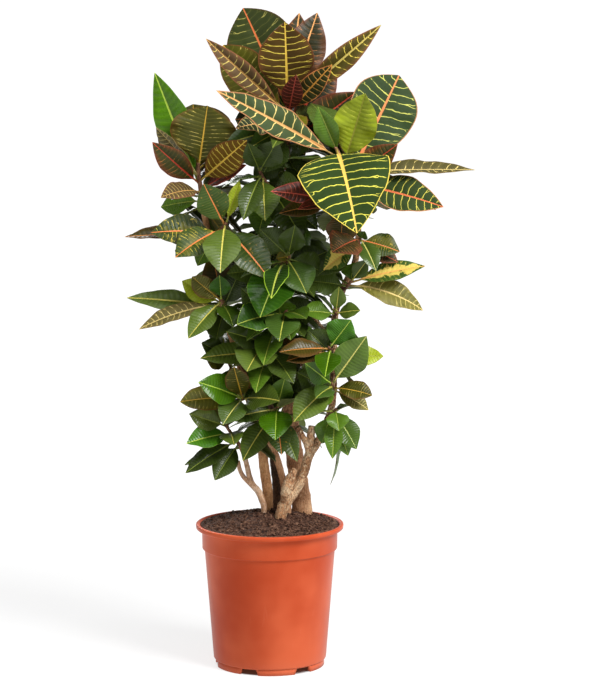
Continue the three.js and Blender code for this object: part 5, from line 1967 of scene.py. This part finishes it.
        (0.85, 98, 336, -82, 32, 6, 26, 32, 14, Kind.GREEN),
        (0.6, 123, 310, -54, 36, 12, 26, 32, 14, Kind.GREEN),
        (0.75, 89, 296, -74, 26, 0, 18, 26, 14, Kind.GREEN),
        (0.3, 74, 318, -40, 32, -4, 22, 28, 14, Kind.GREEN),
        (0.45, 111, 303, -34, 30, 8, 20, 28, 14, Kind.GREEN),
        (0.45, 86, 259, -2, 26, 70, 14, 34, 14, Kind.SAGE),
    )),
    Shoot("shoot_inner", (
        (-3, 340, -6, 3), (2, 354, -20, 2.8), (8, 364, -34, 2.6), (12, 372, -42, 2),
    ), (
        (0.92, 8, 323, -102, 46, -4, 36, 38, 12, Kind.VIVID),
        (0.94, 22, 414, -84, 34, 2, 14, 8, 14, Kind.GREEN),
        (0.8, 17, 302, -72, 36, 2, 26, 34, 14, Kind.FLAME),
        (0.6, -38, 293, -62, 38, -12, 28, 36, 12, Kind.IVY),
        (0.85, -60, 349, -84, 32, -10, 38, 26, 14, Kind.SAGE),
        (0.7, 39, 292, -64, 30, 8, 24, 32, 14, Kind.DEEP),
        (0.98, 16, 396, -92, 42, 6, 22, 18, 12, Kind.DEEP),
    ), More(3, 0.1, 60, 42, -30, 40, 10, 190)),
    Shoot("shoot_centre_left", (
        (-33, 396, 4, 2.8), (-35, 386, -14, 2.6), (-37, 382, -34, 2.4), (-38, 382, -44, 1.8),
    ), (
        (0.92, -101, 406, -84, 44, -8, 28, 24, 12, Kind.VIVID),
        (0.9, -66, 345, -94, 40, -8, 30, 34, 12, Kind.SAGE),
        (0.6, -126, 380, -34, 40, -12, 34, 26, 12, Kind.OLIVE),
        (0.85, 14, 384, -78, 44, 4, 30, 24, 12, Kind.IVY),
        (0.96, -50, 430, -74, 34, -6, 14, 8, 14, Kind.OLIVE),
    )),
    Shoot("shoot_left_twig", (
        (-52, 421, -6, 2.2), (-57, 433, -10, 2.2), (-60, 442, -14, 2), (-62, 447, -18, 1.6),
    ), (
        (0.5, -88, 436, -16, 30, -10, 34, 18, 14, Kind.OLIVE),
        (0.85, -96, 462, -34, 32, -10, 28, 18, 14, Kind.DEEP),
    ), More(3, 0.15, 66, 42, -22, 30, 160, 120)),
    Shoot("shoot_left_low", (
        (-36, 300, -15, 2.6), (-44, 318, -20, 2.6), (-55, 334, -28, 2.2), (-63, 345, -34, 1.8),
    ), (
        (0.7, -118, 318, -74, 38, -10, 36, 24, 12, Kind.GLOSS),
        (0.96, -114, 361, -52, 34, -14, 20, 12, 14, Kind.MOTTLED),
        (0.75, -50, 316, -84, 34, -2, 30, 32, 14, Kind.IVY),
        (0.35, -78, 265, -58, 36, -8, 26, 28, 12, Kind.DEEP),
        (0.45, -119, 278, -46, 32, -12, 34, 24, 14, Kind.DEEP),
        (0.85, -76, 387, -36, 30, -6, 14, 6, 14, Kind.OLIVE),
        (0.25, -121, 287, -12, 26, -16, 60, 14, 20, Kind.GREEN),
    ), More(3, 0.2, 68, 42, -32, 26, 150, 130)),
    Shoot("shoot_rear_high", (
        (23, 600, 27, 3.4), (26, 618, 58, 3.2), (28, 640, 86, 2.8), (30, 668, 104, 2),
    ), (), More(8, 0.25, 104, 56, -40, 56, 180, 250, UNSEEN)),
    Shoot("shoot_rear_left", (
        (-74, 568, 0, 3.2), (-76, 578, 26, 3), (-76, 592, 50, 2.6), (-74, 610, 66, 2),
    ), (), More(7, 0.3, 84, 46, -30, 50, 176, 190, UNSEEN)),
    Shoot("shoot_rear_middle", (
        (24, 500, 33, 3.4), (16, 514, 62, 3.2), (8, 532, 90, 2.8), (4, 554, 106, 2),
    ), (), More(8, 0.25, 98, 50, -40, 54, 186, 250, UNSEEN)),
    Shoot("shoot_rear_right", (
        (26, 420, 36, 3.2), (42, 430, 60, 3), (54, 444, 82, 2.6), (60, 462, 94, 2),
    ), (), More(8, 0.25, 86, 44, -40, 46, 172, 220, UNSEEN)),
    Shoot("shoot_rear_low", (
        (28, 340, 38, 3.2), (18, 350, 62, 3), (6, 364, 84, 2.6), (0, 382, 96, 2),
    ), (), More(8, 0.25, 84, 44, -40, 44, 190, 230, UNSEEN)),
)


@dataclass(frozen=True)
class Croton:
    """The whole plant in its pot."""

    stems: tuple[Stem, ...]
    shoots: tuple[Shoot, ...]

    def build(self) -> None:
        """Builds every piece, from the pot up."""
        Pot().build()
        log.info("pot: built")
        Soil().build()
        log.info("soil: built")
        for stem in self.stems:
            stem.build()
            log.info("%s: built", stem.name)
        skins = [
            LeafSkin("leaf upper").material(), LeafSkin("leaf underside", under=True).material(),
            StalkSkin().material(), SHOOT_BARK.material(),
        ]
        crowd = Crowd()
        for stem in self.stems:
            for rows in (stem.rows, *stem.branches):
                crowd.add(Limb(rows).sheet())
        leaves = [shoot.grown(index) for index, shoot in enumerate(self.shoots)]
        for shoot, own in zip(self.shoots, leaves):
            crowd.add(Limb(shoot.stem).sheet())
            for leaf in own:
                crowd.add(leaf.sheet())
        for index, (shoot, own) in enumerate(zip(self.shoots, leaves)):
            further = shoot.fill(index, crowd)
            shoot.build([*own, *further], skins, index)
            log.info("%s: built with %d further leaves", shoot.name, len(further))


def main() -> None:
    """Sets up the studio and builds the plant."""
    logging.basicConfig(level=logging.INFO, format="%(name)s: %(message)s")
    Studio().build()
    Croton(STEMS, SHOOTS).build()


if __name__ == "__main__":
    main()
